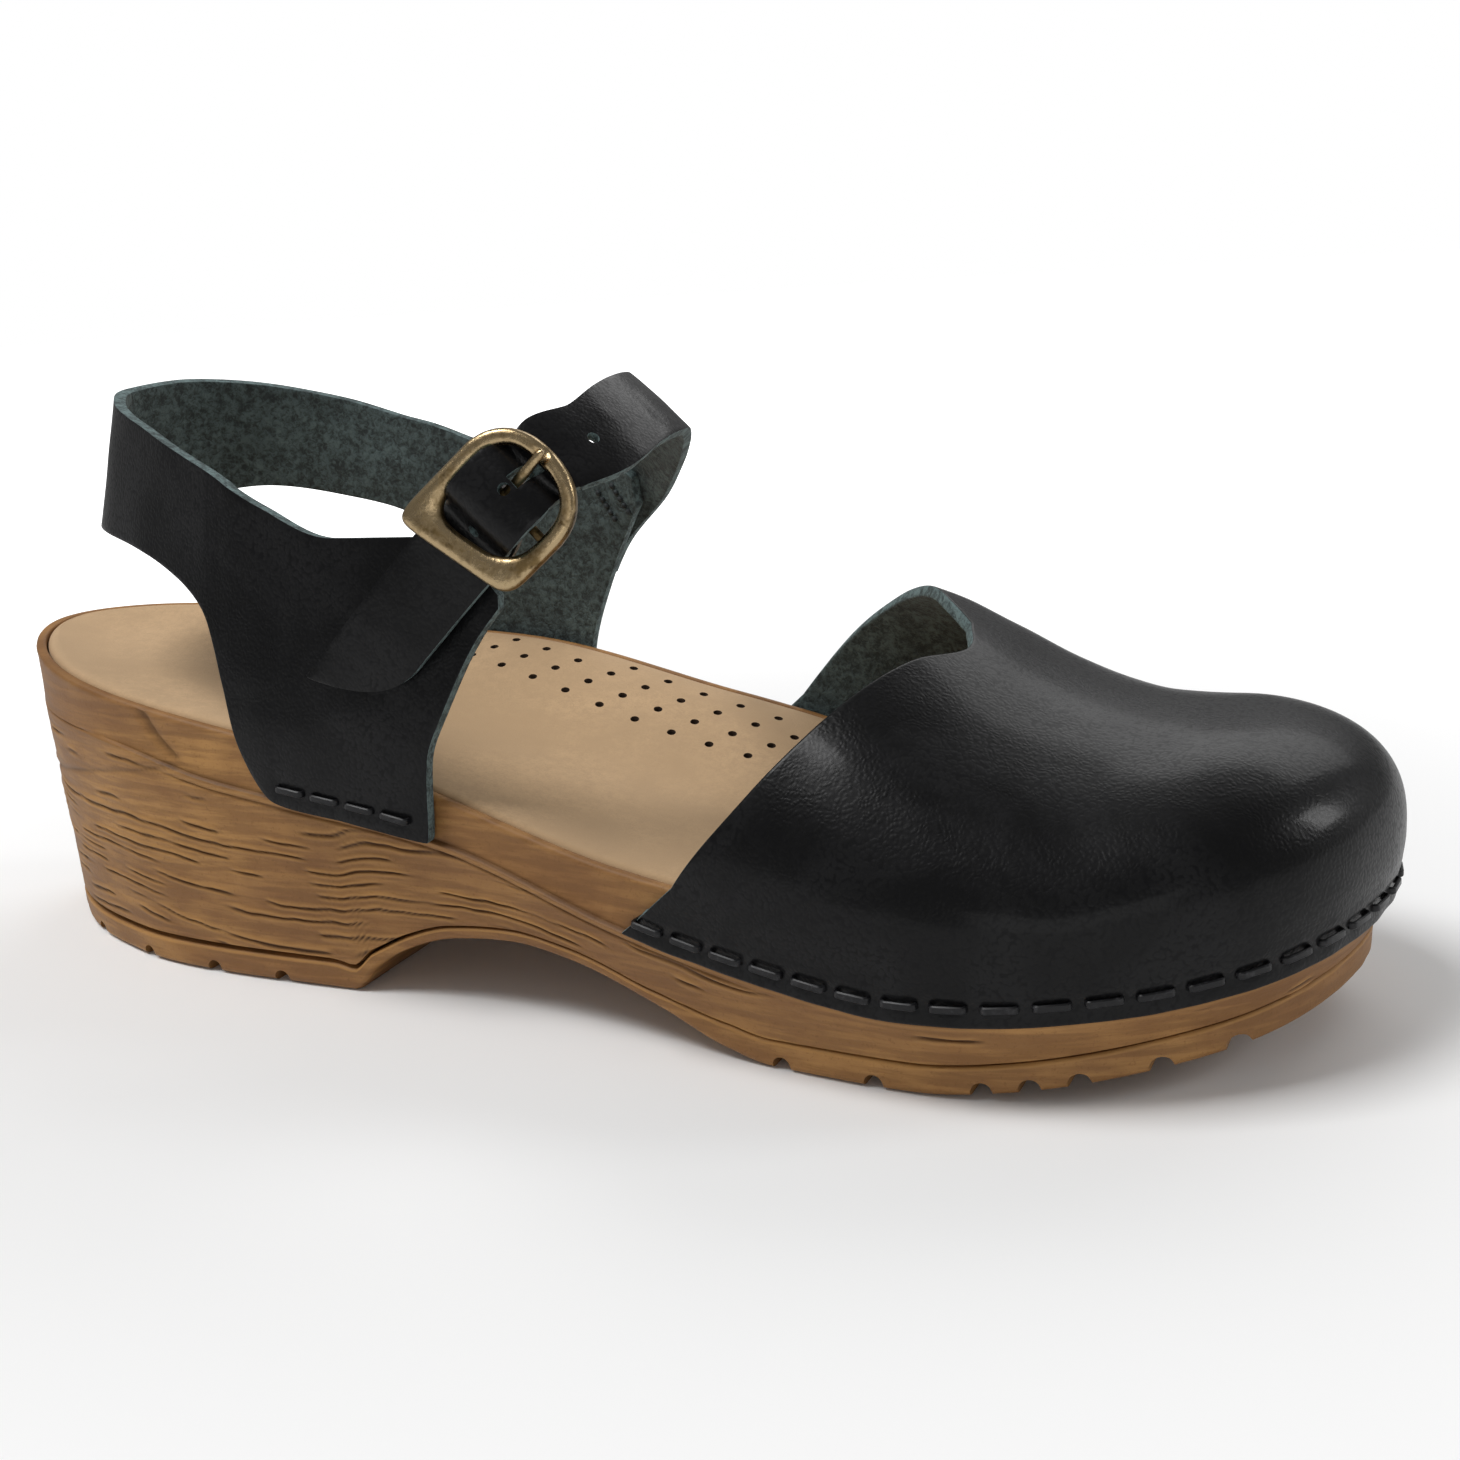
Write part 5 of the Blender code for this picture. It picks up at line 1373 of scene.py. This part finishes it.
def make_frame():
    """Cast buckle: straight side towards the heel, arch towards the instep."""
    steps = 200
    ring = 20
    angle = 2 * math.pi * (np.arange(steps) + 0.5) / steps
    arch = np.cos(angle) > 0
    outer = np.where(arch[:, None], rounded(FRAME_ARCH - 1, FRAME_HALF_WIDTH, 2.25, angle),
                     rounded(1 - FRAME_STRAIGHT, FRAME_HALF_WIDTH, 9.0, angle))
    inner = np.where(arch[:, None], rounded(OPENING_ARCH - 0.6, OPENING_HALF_WIDTH, 2.6, angle),
                     rounded(0.6 - OPENING_STRAIGHT, OPENING_HALF_WIDTH, 3.2, angle))
    outer = outer + (1.0, 0.0)
    inner = inner + (0.6, 0.0)
    for edge in (outer, inner):
        slant = FRAME_SLANT * smooth_step(-edge[:, 0], -3.0, 9.0)
        edge[:, 0] += slant * edge[:, 1]
        edge[:, 1] += FRAME_ASIDE
    middle = 0.5 * (outer + inner)
    reach = 0.5 * (outer - inner)
    turn = 2 * math.pi * (np.arange(ring) + 0.5) / ring
    flat = np.sign(np.cos(turn)) * np.abs(np.cos(turn)) ** 0.8
    high = np.sign(np.sin(turn)) * np.abs(np.sin(turn)) ** 0.72
    plan = middle[:, None] + reach[:, None] * flat[None, :, None]
    out = np.broadcast_to(FRAME_HALF_THICKNESS * high, plan.shape[:2]).copy()
    top = smooth_step(high, 0.2, 0.9)
    out -= 0.55 * bump(plan[..., 1], 1.0) * top * (plan[..., 0] > 6.0)
    points = buckle_point(plan[..., 0], plan[..., 1], out)
    rough = 0.05 * soft_noise(points / 2.4, 71) + 0.02 * soft_noise(points / 0.8, 72)
    centre = buckle_point(middle[:, 0], middle[:, 1], 0.0)[:, None]
    points = points + unit(points - centre) * rough[..., None]
    wear = (0.22 + 0.42 * np.abs(flat)[None] * top[None] + 0.22 * top[None]
            + 0.30 * soft_noise(points / 3.0, 73))
    return new_piece("buckle_frame_cast", points.reshape(-1, 3),
                     ring_faces(steps, ring, closed=True), [finish("brass")],
                     values={"wear": wear.ravel()})


def tube(path, size, sides, side, closed=False):
    """Round or oval tube along a path; size holds half widths across and out."""
    ahead = unit(np.roll(path, -1, 0) - np.roll(path, 1, 0) if closed
                 else np.gradient(path, axis=0))
    normal = np.cross(side, ahead)
    turn = 2 * math.pi * (np.arange(sides) + 0.5) / sides
    across = size[:, :1] * np.cos(turn)
    out = size[:, 1:] * np.sin(turn)
    points = path[:, None] + side * across[..., None] + normal[:, None] * out[..., None]
    faces = ring_faces(len(path), sides, closed=closed)
    if not closed:
        faces.extend(end_faces(len(path), sides))
    return points.reshape(-1, 3), faces


def make_prong():
    """Ring round the bar, and the tapered prong that lies over the arch."""
    turn = np.linspace(0, 2 * math.pi, 33)[:-1]
    loop = buckle_point(BAR_ALONG + 1.46 * np.cos(turn), 0.0, BAR_HEIGHT + 1.46 * np.sin(turn))
    points, faces = tube(loop, np.tile((1.1, 0.43), (32, 1)), 12, ACROSS, closed=True)
    line = smooth_path([buckle_point(a, 0.0, o) for a, o in
                        ((1.6, 0.1), (3.2, 0.55), (5.0, 1.0), (8.4, 2.1), (10.6, 2.6))], 30)
    share = np.linspace(0, 1, 30)
    width = 1.0 - 0.3 * share
    width[-3:] *= (0.94, 0.78, 0.45)
    blade, more = tube(line, np.stack([width, width * 0.85], 1), 14, ACROSS)
    faces.extend(tuple(i + len(points) for i in face) for face in more)
    wear = np.concatenate([np.full(len(points), 0.35), np.repeat(0.35 + 0.35 * share, 14)])
    return new_piece("buckle_prong_cast", np.vstack([points, blade]), faces, [finish("brass")],
                     values={"wear": wear})


# ---------------------------------------------------------------- staples and stitches

def square_to(tangent, outward):
    """Level outward direction, turned square to the run of the edge."""
    normal = np.array((*outward, 0.0))
    return unit(normal - tangent * (normal @ tangent))


def staple_frame(side, x):
    """Place on the leather, direction along the edge and outward direction."""
    point, out = (row[0] for row in side_points(side, x))
    ahead = side_points(side, x + 0.5)[0][0]
    rise = float(seat_height(*ahead) - seat_height(*point))
    tangent = unit((*(ahead - point), rise))
    height = float(seat_height(*point)) + STAPLE_ABOVE_EDGE
    place = point + out * (GAP + LEATHER + QUARTER_STAPLE_OUT)
    return np.array((*place, height)), tangent, square_to(tangent, out)


def upper_staple_frames():
    """Even spacing along the lower edge of the closed toe from one throat end to the other."""
    outer_line, outer_out = OUTER_SIDE
    inner_line, inner_out = INNER_SIDE
    first = outer_line[:, 0] > THROAT_OUTER[0][1] + STAPLE_FROM_THROAT
    last = inner_line[:, 0] > THROAT_INNER[0][1] + STAPLE_FROM_THROAT
    line = np.vstack([outer_line[first], inner_line[last][::-1]])
    out = np.vstack([outer_out[first], inner_out[last][::-1]])
    places, outs = along_line(line, out, np.linspace(0, 1, UPPER_STAPLES))
    frames = []
    for point, outward in zip(places, outs):
        tangent = np.array((-outward[1], outward[0]))
        rise = float(seat_height(*(point + tangent)) - seat_height(*(point - tangent))) / 2
        tangent = unit((*tangent, rise))
        height = float(seat_height(*point)) + STAPLE_ABOVE_EDGE
        share = STAPLE_ABOVE_EDGE / max(8.0, float(rim_height(*point)) + 2.5 - height)
        place = point + outward * (GAP + LEATHER + TOE_BULGE * min(share, 1.0) ** 2 + 0.1)
        frames.append((np.array((*place, height)), tangent, square_to(tangent, outward)))
    return frames


def quarter_staple_frames(side):
    start = INNER_STAPLE_START if side is INNER_SIDE else OUTER_STAPLE_START
    return [staple_frame(side, start + k * QUARTER_STAPLE_PITCH) for k in range(QUARTER_STAPLES)]


def stand_on_points(tree, points, one):
    """Copies of one thing on the points, upright along face and turned along run."""
    face, run = (node_out(tree, "GeometryNodeInputNamedAttribute", "Attribute", {"Name": name},
                          data_type="FLOAT_VECTOR") for name in ("face", "run"))
    upright = node_out(tree, "FunctionNodeAlignRotationToVector", "Rotation", {"Vector": face},
                       axis="Z")
    turned = node_out(tree, "FunctionNodeAlignRotationToVector", "Rotation",
                      {"Rotation": upright, "Vector": run}, axis="X", pivot_axis="Z")
    many = node_out(tree, "GeometryNodeInstanceOnPoints", "Instances",
                    {"Points": points, "Instance": one, "Rotation": turned})
    return node_out(tree, "GeometryNodeRealizeInstances", "Geometry", {"Geometry": many})


def staple_tree():
    """One wire staple bent from a rectangle of wire, repeated along the edge."""
    tree, given, result = geometry_tree(
        "staple_row", ("Crown", "Float"), ("Leg", "Float"), ("Proud", "Float"),
        ("Wire Width", "Float"), ("Wire Depth", "Float"), ("Finish", "Material"))
    half = times(tree, given["Crown"], 0.5)
    left = times(tree, half, -1.0)
    down = times(tree, given["Leg"], -1.0)
    up = given["Proud"]
    corners = [node_out(tree, "ShaderNodeCombineXYZ", "Vector", {"X": x, "Y": y})
               for x, y in ((left, down), (left, up), (half, up), (half, down))]
    line = node_out(tree, "GeometryNodeMeshLine", "Mesh", {"Count": 4})
    wire = node_out(tree, "GeometryNodeMeshToCurve", "Curve", {"Mesh": line})
    order = node_out(tree, "GeometryNodeInputIndex", "Index")
    choose = put(tree, "GeometryNodeIndexSwitch", data_type="VECTOR")
    while len(choose.index_switch_items) < 4:
        choose.index_switch_items.new()
    tree.links.new(order, choose.inputs["Index"])
    for k, corner in enumerate(corners):
        tree.links.new(corner, choose.inputs[k + 1])
    bent = node_out(tree, "GeometryNodeSetPosition", "Geometry",
                    {"Geometry": wire, "Position": choose.outputs[0]})
    soft = node_out(tree, "GeometryNodeFilletCurve", "Curve",
                    {"Curve": bent, "Radius": 0.0006, "Count": 3}, mode="POLY")
    level = node_out(tree, "GeometryNodeSetCurveNormal", "Curve", {"Curve": soft}, mode="Z_UP")
    section = node_out(tree, "GeometryNodeCurvePrimitiveQuadrilateral", "Curve",
                       {"Width": given["Wire Depth"],
                        "Height": given["Wire Width"]})
    section = node_out(tree, "GeometryNodeFilletCurve", "Curve",
                       {"Curve": section, "Radius": 0.00018, "Count": 1}, mode="POLY")
    solid = node_out(tree, "GeometryNodeCurveToMesh", "Mesh",
                     {"Curve": level, "Profile Curve": section, "Fill Caps": True})
    stood = node_out(tree, "GeometryNodeTransform", "Geometry",
                     {"Geometry": solid, "Rotation": (math.pi / 2, 0.0, 0.0)})
    real = stand_on_points(tree, given["Geometry"], stood)
    tree.links.new(painted(tree, real, given["Finish"]), result[0])
    return tree


def make_staples(size, name, frames):
    """A row of wire staples, one on each of the given places."""
    points, runs, faces = zip(*frames)
    made = point_cloud(name, points, {"run": runs, "face": faces})
    run_tree(made, staple_tree(), {
        "Crown": STAPLE_CROWN * MM, "Leg": size.staple_leg, "Proud": size.staple_proud,
        "Wire Width": size.wire_width, "Wire Depth": size.wire_depth, "Finish": finish("wire")})
    shade(made.data, 40.0)
    return made


def stitch_tree():
    """Short rounded stitches of waxed thread."""
    tree, given, result = geometry_tree("stitch_row", ("Length", "Float"), ("Thread", "Float"),
                                        ("Finish", "Material"))
    ball = node_out(tree, "GeometryNodeMeshUVSphere", "Mesh",
                    {"Segments": 10, "Rings": 8, "Radius": 0.5})
    scale = node_out(tree, "ShaderNodeCombineXYZ", "Vector",
                     {"X": given["Length"], "Y": given["Thread"],
                      "Z": given["Thread"]})
    one = node_out(tree, "GeometryNodeTransform", "Geometry", {"Geometry": ball, "Scale": scale})
    real = stand_on_points(tree, given["Geometry"], one)
    tree.links.new(painted(tree, real, given["Finish"]), result[0])
    return tree


def surface_of(*pieces):
    """One searchable surface of several finished pieces."""
    points = []
    faces = []
    for made in pieces:
        base = len(points)
        points.extend(v.co for v in made.data.vertices)
        faces.extend([base + i for i in f.vertices] for f in made.data.polygons)
    return BVHTree.FromPolygons(points, faces)


def make_stitches(size, name, surface, centre, side):
    """A row of stitches on one surface, found by looking along the needle's way."""
    through = unit(TACK_THROUGH)
    along = np.array(TACK_DIRECTION, float)
    along = unit(along - through * (along @ through))
    points = []
    runs = []
    faces = []
    count = size.tack_stitches
    for k in range(count):
        shift = TACK_LENGTH * ((k + 0.5) / count - 0.5)
        start = np.array(centre) + along * shift + through * side * 14.0
        hit, normal, _face, _far = surface.ray_cast(Vector((start + SHIFT) * MM),
                                                    Vector(-side * through))
        if hit is None:
            raise RuntimeError(f"{name} found no leather under a stitch")
        if normal @ Vector(side * through) < 0:
            normal = -normal
        lift = 0.1 * size.thread_width * np.array(normal)
        points.append((np.array(hit) + lift) / MM - SHIFT)
        runs.append(along)
        faces.append(tuple(normal))
    made = point_cloud(name, points, {"run": runs, "face": faces})
    run_tree(made, stitch_tree(), {
        "Length": 0.92 * TACK_LENGTH * MM / count, "Thread": size.thread_width,
        "Finish": finish("thread")})
    shade(made.data)
    return made


# ---------------------------------------------------------------- stage

# In metres; the camera's turn, rise and roll in degrees
FLOOR_RADIUS = 3.0
CAMERA_TURN = 25.49
CAMERA_RISE = 15.52
CAMERA_ROLL = -3.89


def seen_by_camera(tree):
    return put(tree, "ShaderNodeLightPath").outputs["Is Camera Ray"]


def floor_finish(size):
    """Pale floor that fades to white far from the clog: painted light, a glow that only the camera
    sees.
    """
    made, tree, shader, where = start_finish("studio_floor")
    low = tint(size.floor_colour, 0.985)
    far = put(tree, "ShaderNodeVectorMath", {0: where}, operation="LENGTH").outputs["Value"]
    # Painted light: the floor glows for camera rays only, from nothing near the clog up to full
    # strength 0.75 m away
    glow = times(tree, ramp(tree, far, 0.10, 0.75), 1.1)
    feed(tree, shader, {
        "Base Color": blend_colour(tree, noise(tree, where, 3.0, 2.0), low,
                                   tint(size.floor_colour)),
        "Roughness": 0.9, "Specular IOR Level": 0.1, "Emission Color": WHITE,
        "Emission Strength": times(tree, glow, seen_by_camera(tree))})
    return made


def add_light(name, place, target, width, height, power):
    """Rectangular lamp that faces its target."""
    data = bpy.data.lights.new(name, "AREA")
    data.shape = "RECTANGLE"
    data.size = width
    data.size_y = height
    data.energy = power
    made = bpy.data.objects.new(name, data)
    bpy.context.scene.collection.objects.link(made)
    made.location = place
    made.rotation_euler = (Vector(target) - Vector(place)).to_track_quat("-Z", "Y").to_euler()
    return made


def make_stage(size):
    """Round floor, white surroundings and four lights."""
    mesh = bpy.data.meshes.new("studio_floor")
    count = 64
    angle = 2 * math.pi * np.arange(count) / count
    mesh.from_pydata([(FLOOR_RADIUS * math.cos(a), FLOOR_RADIUS * math.sin(a), 0.0)
                      for a in angle], [], [tuple(range(count))])
    mesh.materials.append(floor_finish(size))
    floor = new_object("studio_floor", mesh)
    scene = bpy.context.scene
    world = bpy.data.worlds.new("studio")
    world.use_nodes = True
    scene.world = world
    tree = world.node_tree
    backdrop = tree.nodes["Background"]
    feed(tree, backdrop, {"Color": WHITE, "Strength": between(
        tree, seen_by_camera(tree), size.room_light, 1.0)})
    middle = (0.02, 0.0, 0.04)
    lights = [add_light("key", (-0.45, -0.35, 1.25), middle, 0.6, 0.6, size.key_power),
              add_light("toe", (1.0, 0.4, 0.48), (0.08, 0.0, 0.04), 0.22, 0.34,
                        size.toe_power),
              add_light("back", (0.1, 0.95, 0.8), middle, 1.2, 0.5, size.back_power),
              add_light("fill", (0.5, -1.0, 0.2), middle, 0.9, 0.4, size.fill_power)]
    scene.view_settings.view_transform = "Standard"


def make_camera(size):
    """Three-quarter view from the outer side, a little above and turned a little."""
    azimuth = math.radians(CAMERA_TURN)
    rise = math.radians(CAMERA_RISE)
    roll = math.radians(CAMERA_ROLL)
    back = Vector((math.cos(rise) * math.sin(azimuth), -math.cos(rise) * math.cos(azimuth),
                   math.sin(rise)))
    level = Vector((math.cos(azimuth), math.sin(azimuth), 0.0))
    upward = back.cross(level)
    right = level * math.cos(roll) + upward * math.sin(roll)
    up = upward * math.cos(roll) - level * math.sin(roll)
    place = Vector((np.array((131.0, 0.0, 25.0)) + SHIFT) * MM)
    place += level * 0.0195 + upward * 0.01455 + back * size.camera_distance
    data = bpy.data.cameras.new("camera")
    data.lens = size.camera_lens
    data.sensor_width = 36.0
    made = bpy.data.objects.new("camera", data)
    bpy.context.scene.collection.objects.link(made)
    turned = Matrix((right, up, back)).transposed().to_4x4()
    made.matrix_world = Matrix.Translation(place) @ turned
    bpy.context.scene.camera = made


# ---------------------------------------------------------------- workshop

def length(name, description, default):
    return FloatProperty(name=name, description=description, default=default, unit="LENGTH",
                         precision=5, min=0.0)


def paint(name, description, default):
    return FloatVectorProperty(name=name, description=description, default=default, size=3,
                               subtype="COLOR", min=0.0, max=1.0)


def amount(name, description, default):
    return FloatProperty(name=name, description=description, default=default, min=0.0)


def number(name, description, default):
    return IntProperty(name=name, description=description, default=default, min=2)


class ClogSizes(bpy.types.PropertyGroup):
    sole_stations: number("Sole stations", "Steps round half of the sole", 260)
    side_levels: number("Side levels", "Steps down the side of the sole", 130)
    upper_columns: number("Upper columns", "Steps along each side of the toe", 74)
    quarter_columns: number("Quarter columns", "Steps round the heel strap", 420)
    check_depth: length("Check depth", "Depth of the sole's dark checks", 0.00035)
    groove_width: length("Tread groove width", "Width of the tread's grooves", 0.0034)
    groove_depth: length("Tread groove depth", "Depth of the tread's grooves", 0.0024)
    perforation_pitch: length("Perforation pitch", "Distance of the footbed's holes", 0.0079)
    perforation_width: length("Perforation width", "Width of the footbed's holes", 0.0017)
    strap_hole: length("Strap hole", "Width of the strap's adjusting holes", 0.0021)
    staple_bite: length("Staple bite", "How deep a staple pulls the leather in", 0.00038)
    staple_leg: length("Staple leg", "Length of a staple's leg in the leather", 0.0028)
    staple_proud: length("Staple height", "Height of the wire's middle on the leather", 0.00032)
    wire_width: length("Wire width", "Width of the staple wire", 0.0012)
    wire_depth: length("Wire depth", "Depth of the staple wire", 0.0006)
    thread_width: length("Thread", "Thickness of the stitching thread", 0.00115)
    tack_stitches: number("Stitches", "Stitches in each row of the strap's seam", 5)
    leather_colour: paint("Leather", "Grain side of the leather", (0.0035, 0.0035, 0.0038))
    leather_roughness: amount("Leather roughness", "Gloss of the grain side", 0.33)
    flesh_colour: paint("Flesh side", "Inside of the leather", (0.105, 0.15, 0.15))
    insock_colour: paint("Insock", "Footbed leather", (0.56, 0.375, 0.21))
    wood_colour: paint("Sole", "Wood-look sole", (0.29, 0.142, 0.047))
    brass_colour: paint("Brass", "Antique brass", (0.29, 0.21, 0.105))
    wire_colour: paint("Wire", "Lacquered staple wire", (0.006, 0.006, 0.007))
    floor_colour: paint("Floor", "Studio floor", (0.9, 0.9, 0.9))
    room_light: amount("Room light", "Light from all round", 0.24)
    key_power: amount("Key light", "Power of the large light", 13.0)
    toe_power: amount("Toe light", "Power of the small light at the toe", 2.2)
    back_power: amount("Back light", "Power of the light behind", 4.0)
    fill_power: amount("Fill light", "Power of the low light in front", 1.2)
    camera_lens: FloatProperty(name="Lens", description="Focal length in millimetres",
                               default=45.63, min=1.0)
    camera_distance: length("Camera distance", "From the heel's middle to the camera", 0.3426)


class CLOG_OT_sole(bpy.types.Operator):
    """Build the moulded sole with its outsole"""
    bl_idname = "clog.sole"
    bl_label = "Sole and outsole"

    def execute(self, context):
        size = context.scene.clog
        follow(make_sole(size), "clog", "sole_wood_look", "sole_body")
        follow(make_outsole(size), "clog", "sole_wood_look", "outsole")
        return {"FINISHED"}


class CLOG_OT_footbed(bpy.types.Operator):
    """Build the perforated insock and finish the foam under it"""
    bl_idname = "clog.footbed"
    bl_label = "Footbed"

    def execute(self, context):
        follow(make_insock(context.scene.clog), "clog", "insock_leather", "insock_cover")
        refinish("footbed_core", finish("foam"))
        return {"FINISHED"}


class CLOG_OT_upper(bpy.types.Operator):
    """Build the closed toe and the heel strap with its quarters"""
    bl_idname = "clog.upper"
    bl_label = "Leather upper"

    def execute(self, context):
        size = context.scene.clog
        follow(make_vamp(size), "clog", "upper_leather", "vamp")
        follow(make_quarters(size), "clog", "upper_leather", "heel_quarter")
        return {"FINISHED"}


class CLOG_OT_strap(bpy.types.Operator):
    """Build the ankle strap in one piece, its free end running through the buckle"""
    bl_idname = "clog.strap"
    bl_label = "Ankle strap"

    def execute(self, context):
        made = make_strap(context.scene.clog)
        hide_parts("ankle_strap", "strap_tip")
        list(strap_bend())
        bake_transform(made)
        return {"FINISHED"}


class CLOG_OT_buckle(bpy.types.Operator):
    """Build the cast buckle and its prong and finish the bar and its leather tab"""
    bl_idname = "clog.buckle"
    bl_label = "Buckle"

    def execute(self, context):
        follow(make_frame(), "buckle", "antique_brass", "buckle_frame")
        follow(make_prong(), "prong", "antique_brass", "buckle_prong")
        refinish("buckle_bar", finish("brass"))
        refinish("buckle_chape", finish("grain"))
        return {"FINISHED"}


class CLOG_OT_staples(bpy.types.Operator):
    """Drive the staples along the lower edges of the leather"""
    bl_idname = "clog.staples"
    bl_label = "Staples"

    def execute(self, context):
        size = context.scene.clog
        rows = (("vamp_staple", UPPER_STAPLES, upper_staple_frames()),
                ("outer_staple", QUARTER_STAPLES, quarter_staple_frames(OUTER_SIDE)),
                ("inner_staple", QUARTER_STAPLES, quarter_staple_frames(INNER_SIDE)))
        for name, count, frames in rows:
            made = make_staples(size, f"{name}s", frames)
            nodes = [f"{name}_{k:02d}" for k in range(1, count + 1)]
            follow(made, "clog", "black_staple_wire", *nodes)
        return {"FINISHED"}


class CLOG_OT_stitches(bpy.types.Operator):
    """Sew the ankle strap to the inner quarter with two short rows"""
    bl_idname = "clog.stitches"
    bl_label = "Strap stitching"

    def execute(self, context):
        size = context.scene.clog
        quarter = bpy.data.objects["quarter_leather"]
        strap = bpy.data.objects["ankle_strap_leather"]
        inner = surface_of(quarter)
        outer = surface_of(quarter, strap)
        for k, centre in enumerate(TACK_CENTRES, 1):
            inside = make_stitches(size, f"stitches_inside_{k}", inner, centre, -1)
            follow(inside, "clog", "dark_thread", f"strap_tack_{k:02d}")
            outside = make_stitches(size, f"stitches_outside_{k}", outer, centre, 1)
            follow(outside, "clog", "dark_thread")
        return {"FINISHED"}


class CLOG_OT_stage(bpy.types.Operator):
    """Set the pale floor, the studio lights and the camera"""
    bl_idname = "clog.stage"
    bl_label = "Studio"

    def execute(self, context):
        make_stage(context.scene.clog)
        make_camera(context.scene.clog)
        return {"FINISHED"}


def refinish(node, look):
    """Give a part carried over from the frame its finish."""
    mesh = bpy.data.objects[node].data
    mesh.materials.clear()
    mesh.materials.append(look)


OPERATORS = (CLOG_OT_sole, CLOG_OT_footbed, CLOG_OT_upper, CLOG_OT_strap, CLOG_OT_buckle,
             CLOG_OT_staples, CLOG_OT_stitches, CLOG_OT_stage)


class CLOG_PT_workshop(bpy.types.Panel):
    """Sizes, finishes and building steps of the clog"""
    bl_idname = "CLOG_PT_workshop"
    bl_label = "Clog workshop"
    bl_space_type = "VIEW_3D"
    bl_region_type = "UI"
    bl_category = "Clog"

    def draw(self, context):
        sizes = self.layout.column()
        for name in ClogSizes.__annotations__:
            sizes.prop(context.scene.clog, name)
        steps = self.layout.column()
        for step in OPERATORS:
            steps.operator(step.bl_idname)


def register():
    for item in (ClogSizes, *OPERATORS, CLOG_PT_workshop):
        bpy.utils.register_class(item)
    bpy.types.Scene.clog = PointerProperty(type=ClogSizes)


def unregister():
    del bpy.types.Scene.clog
    for item in (CLOG_PT_workshop, *reversed(OPERATORS), ClogSizes):
        bpy.utils.unregister_class(item)


def main():
    register()
    for step in OPERATORS:
        group, name = step.bl_idname.split(".")
        if getattr(getattr(bpy.ops, group), name)() != {"FINISHED"}:
            raise RuntimeError(f"{step.bl_label} was not built")


if __name__ == "__main__":
    main()
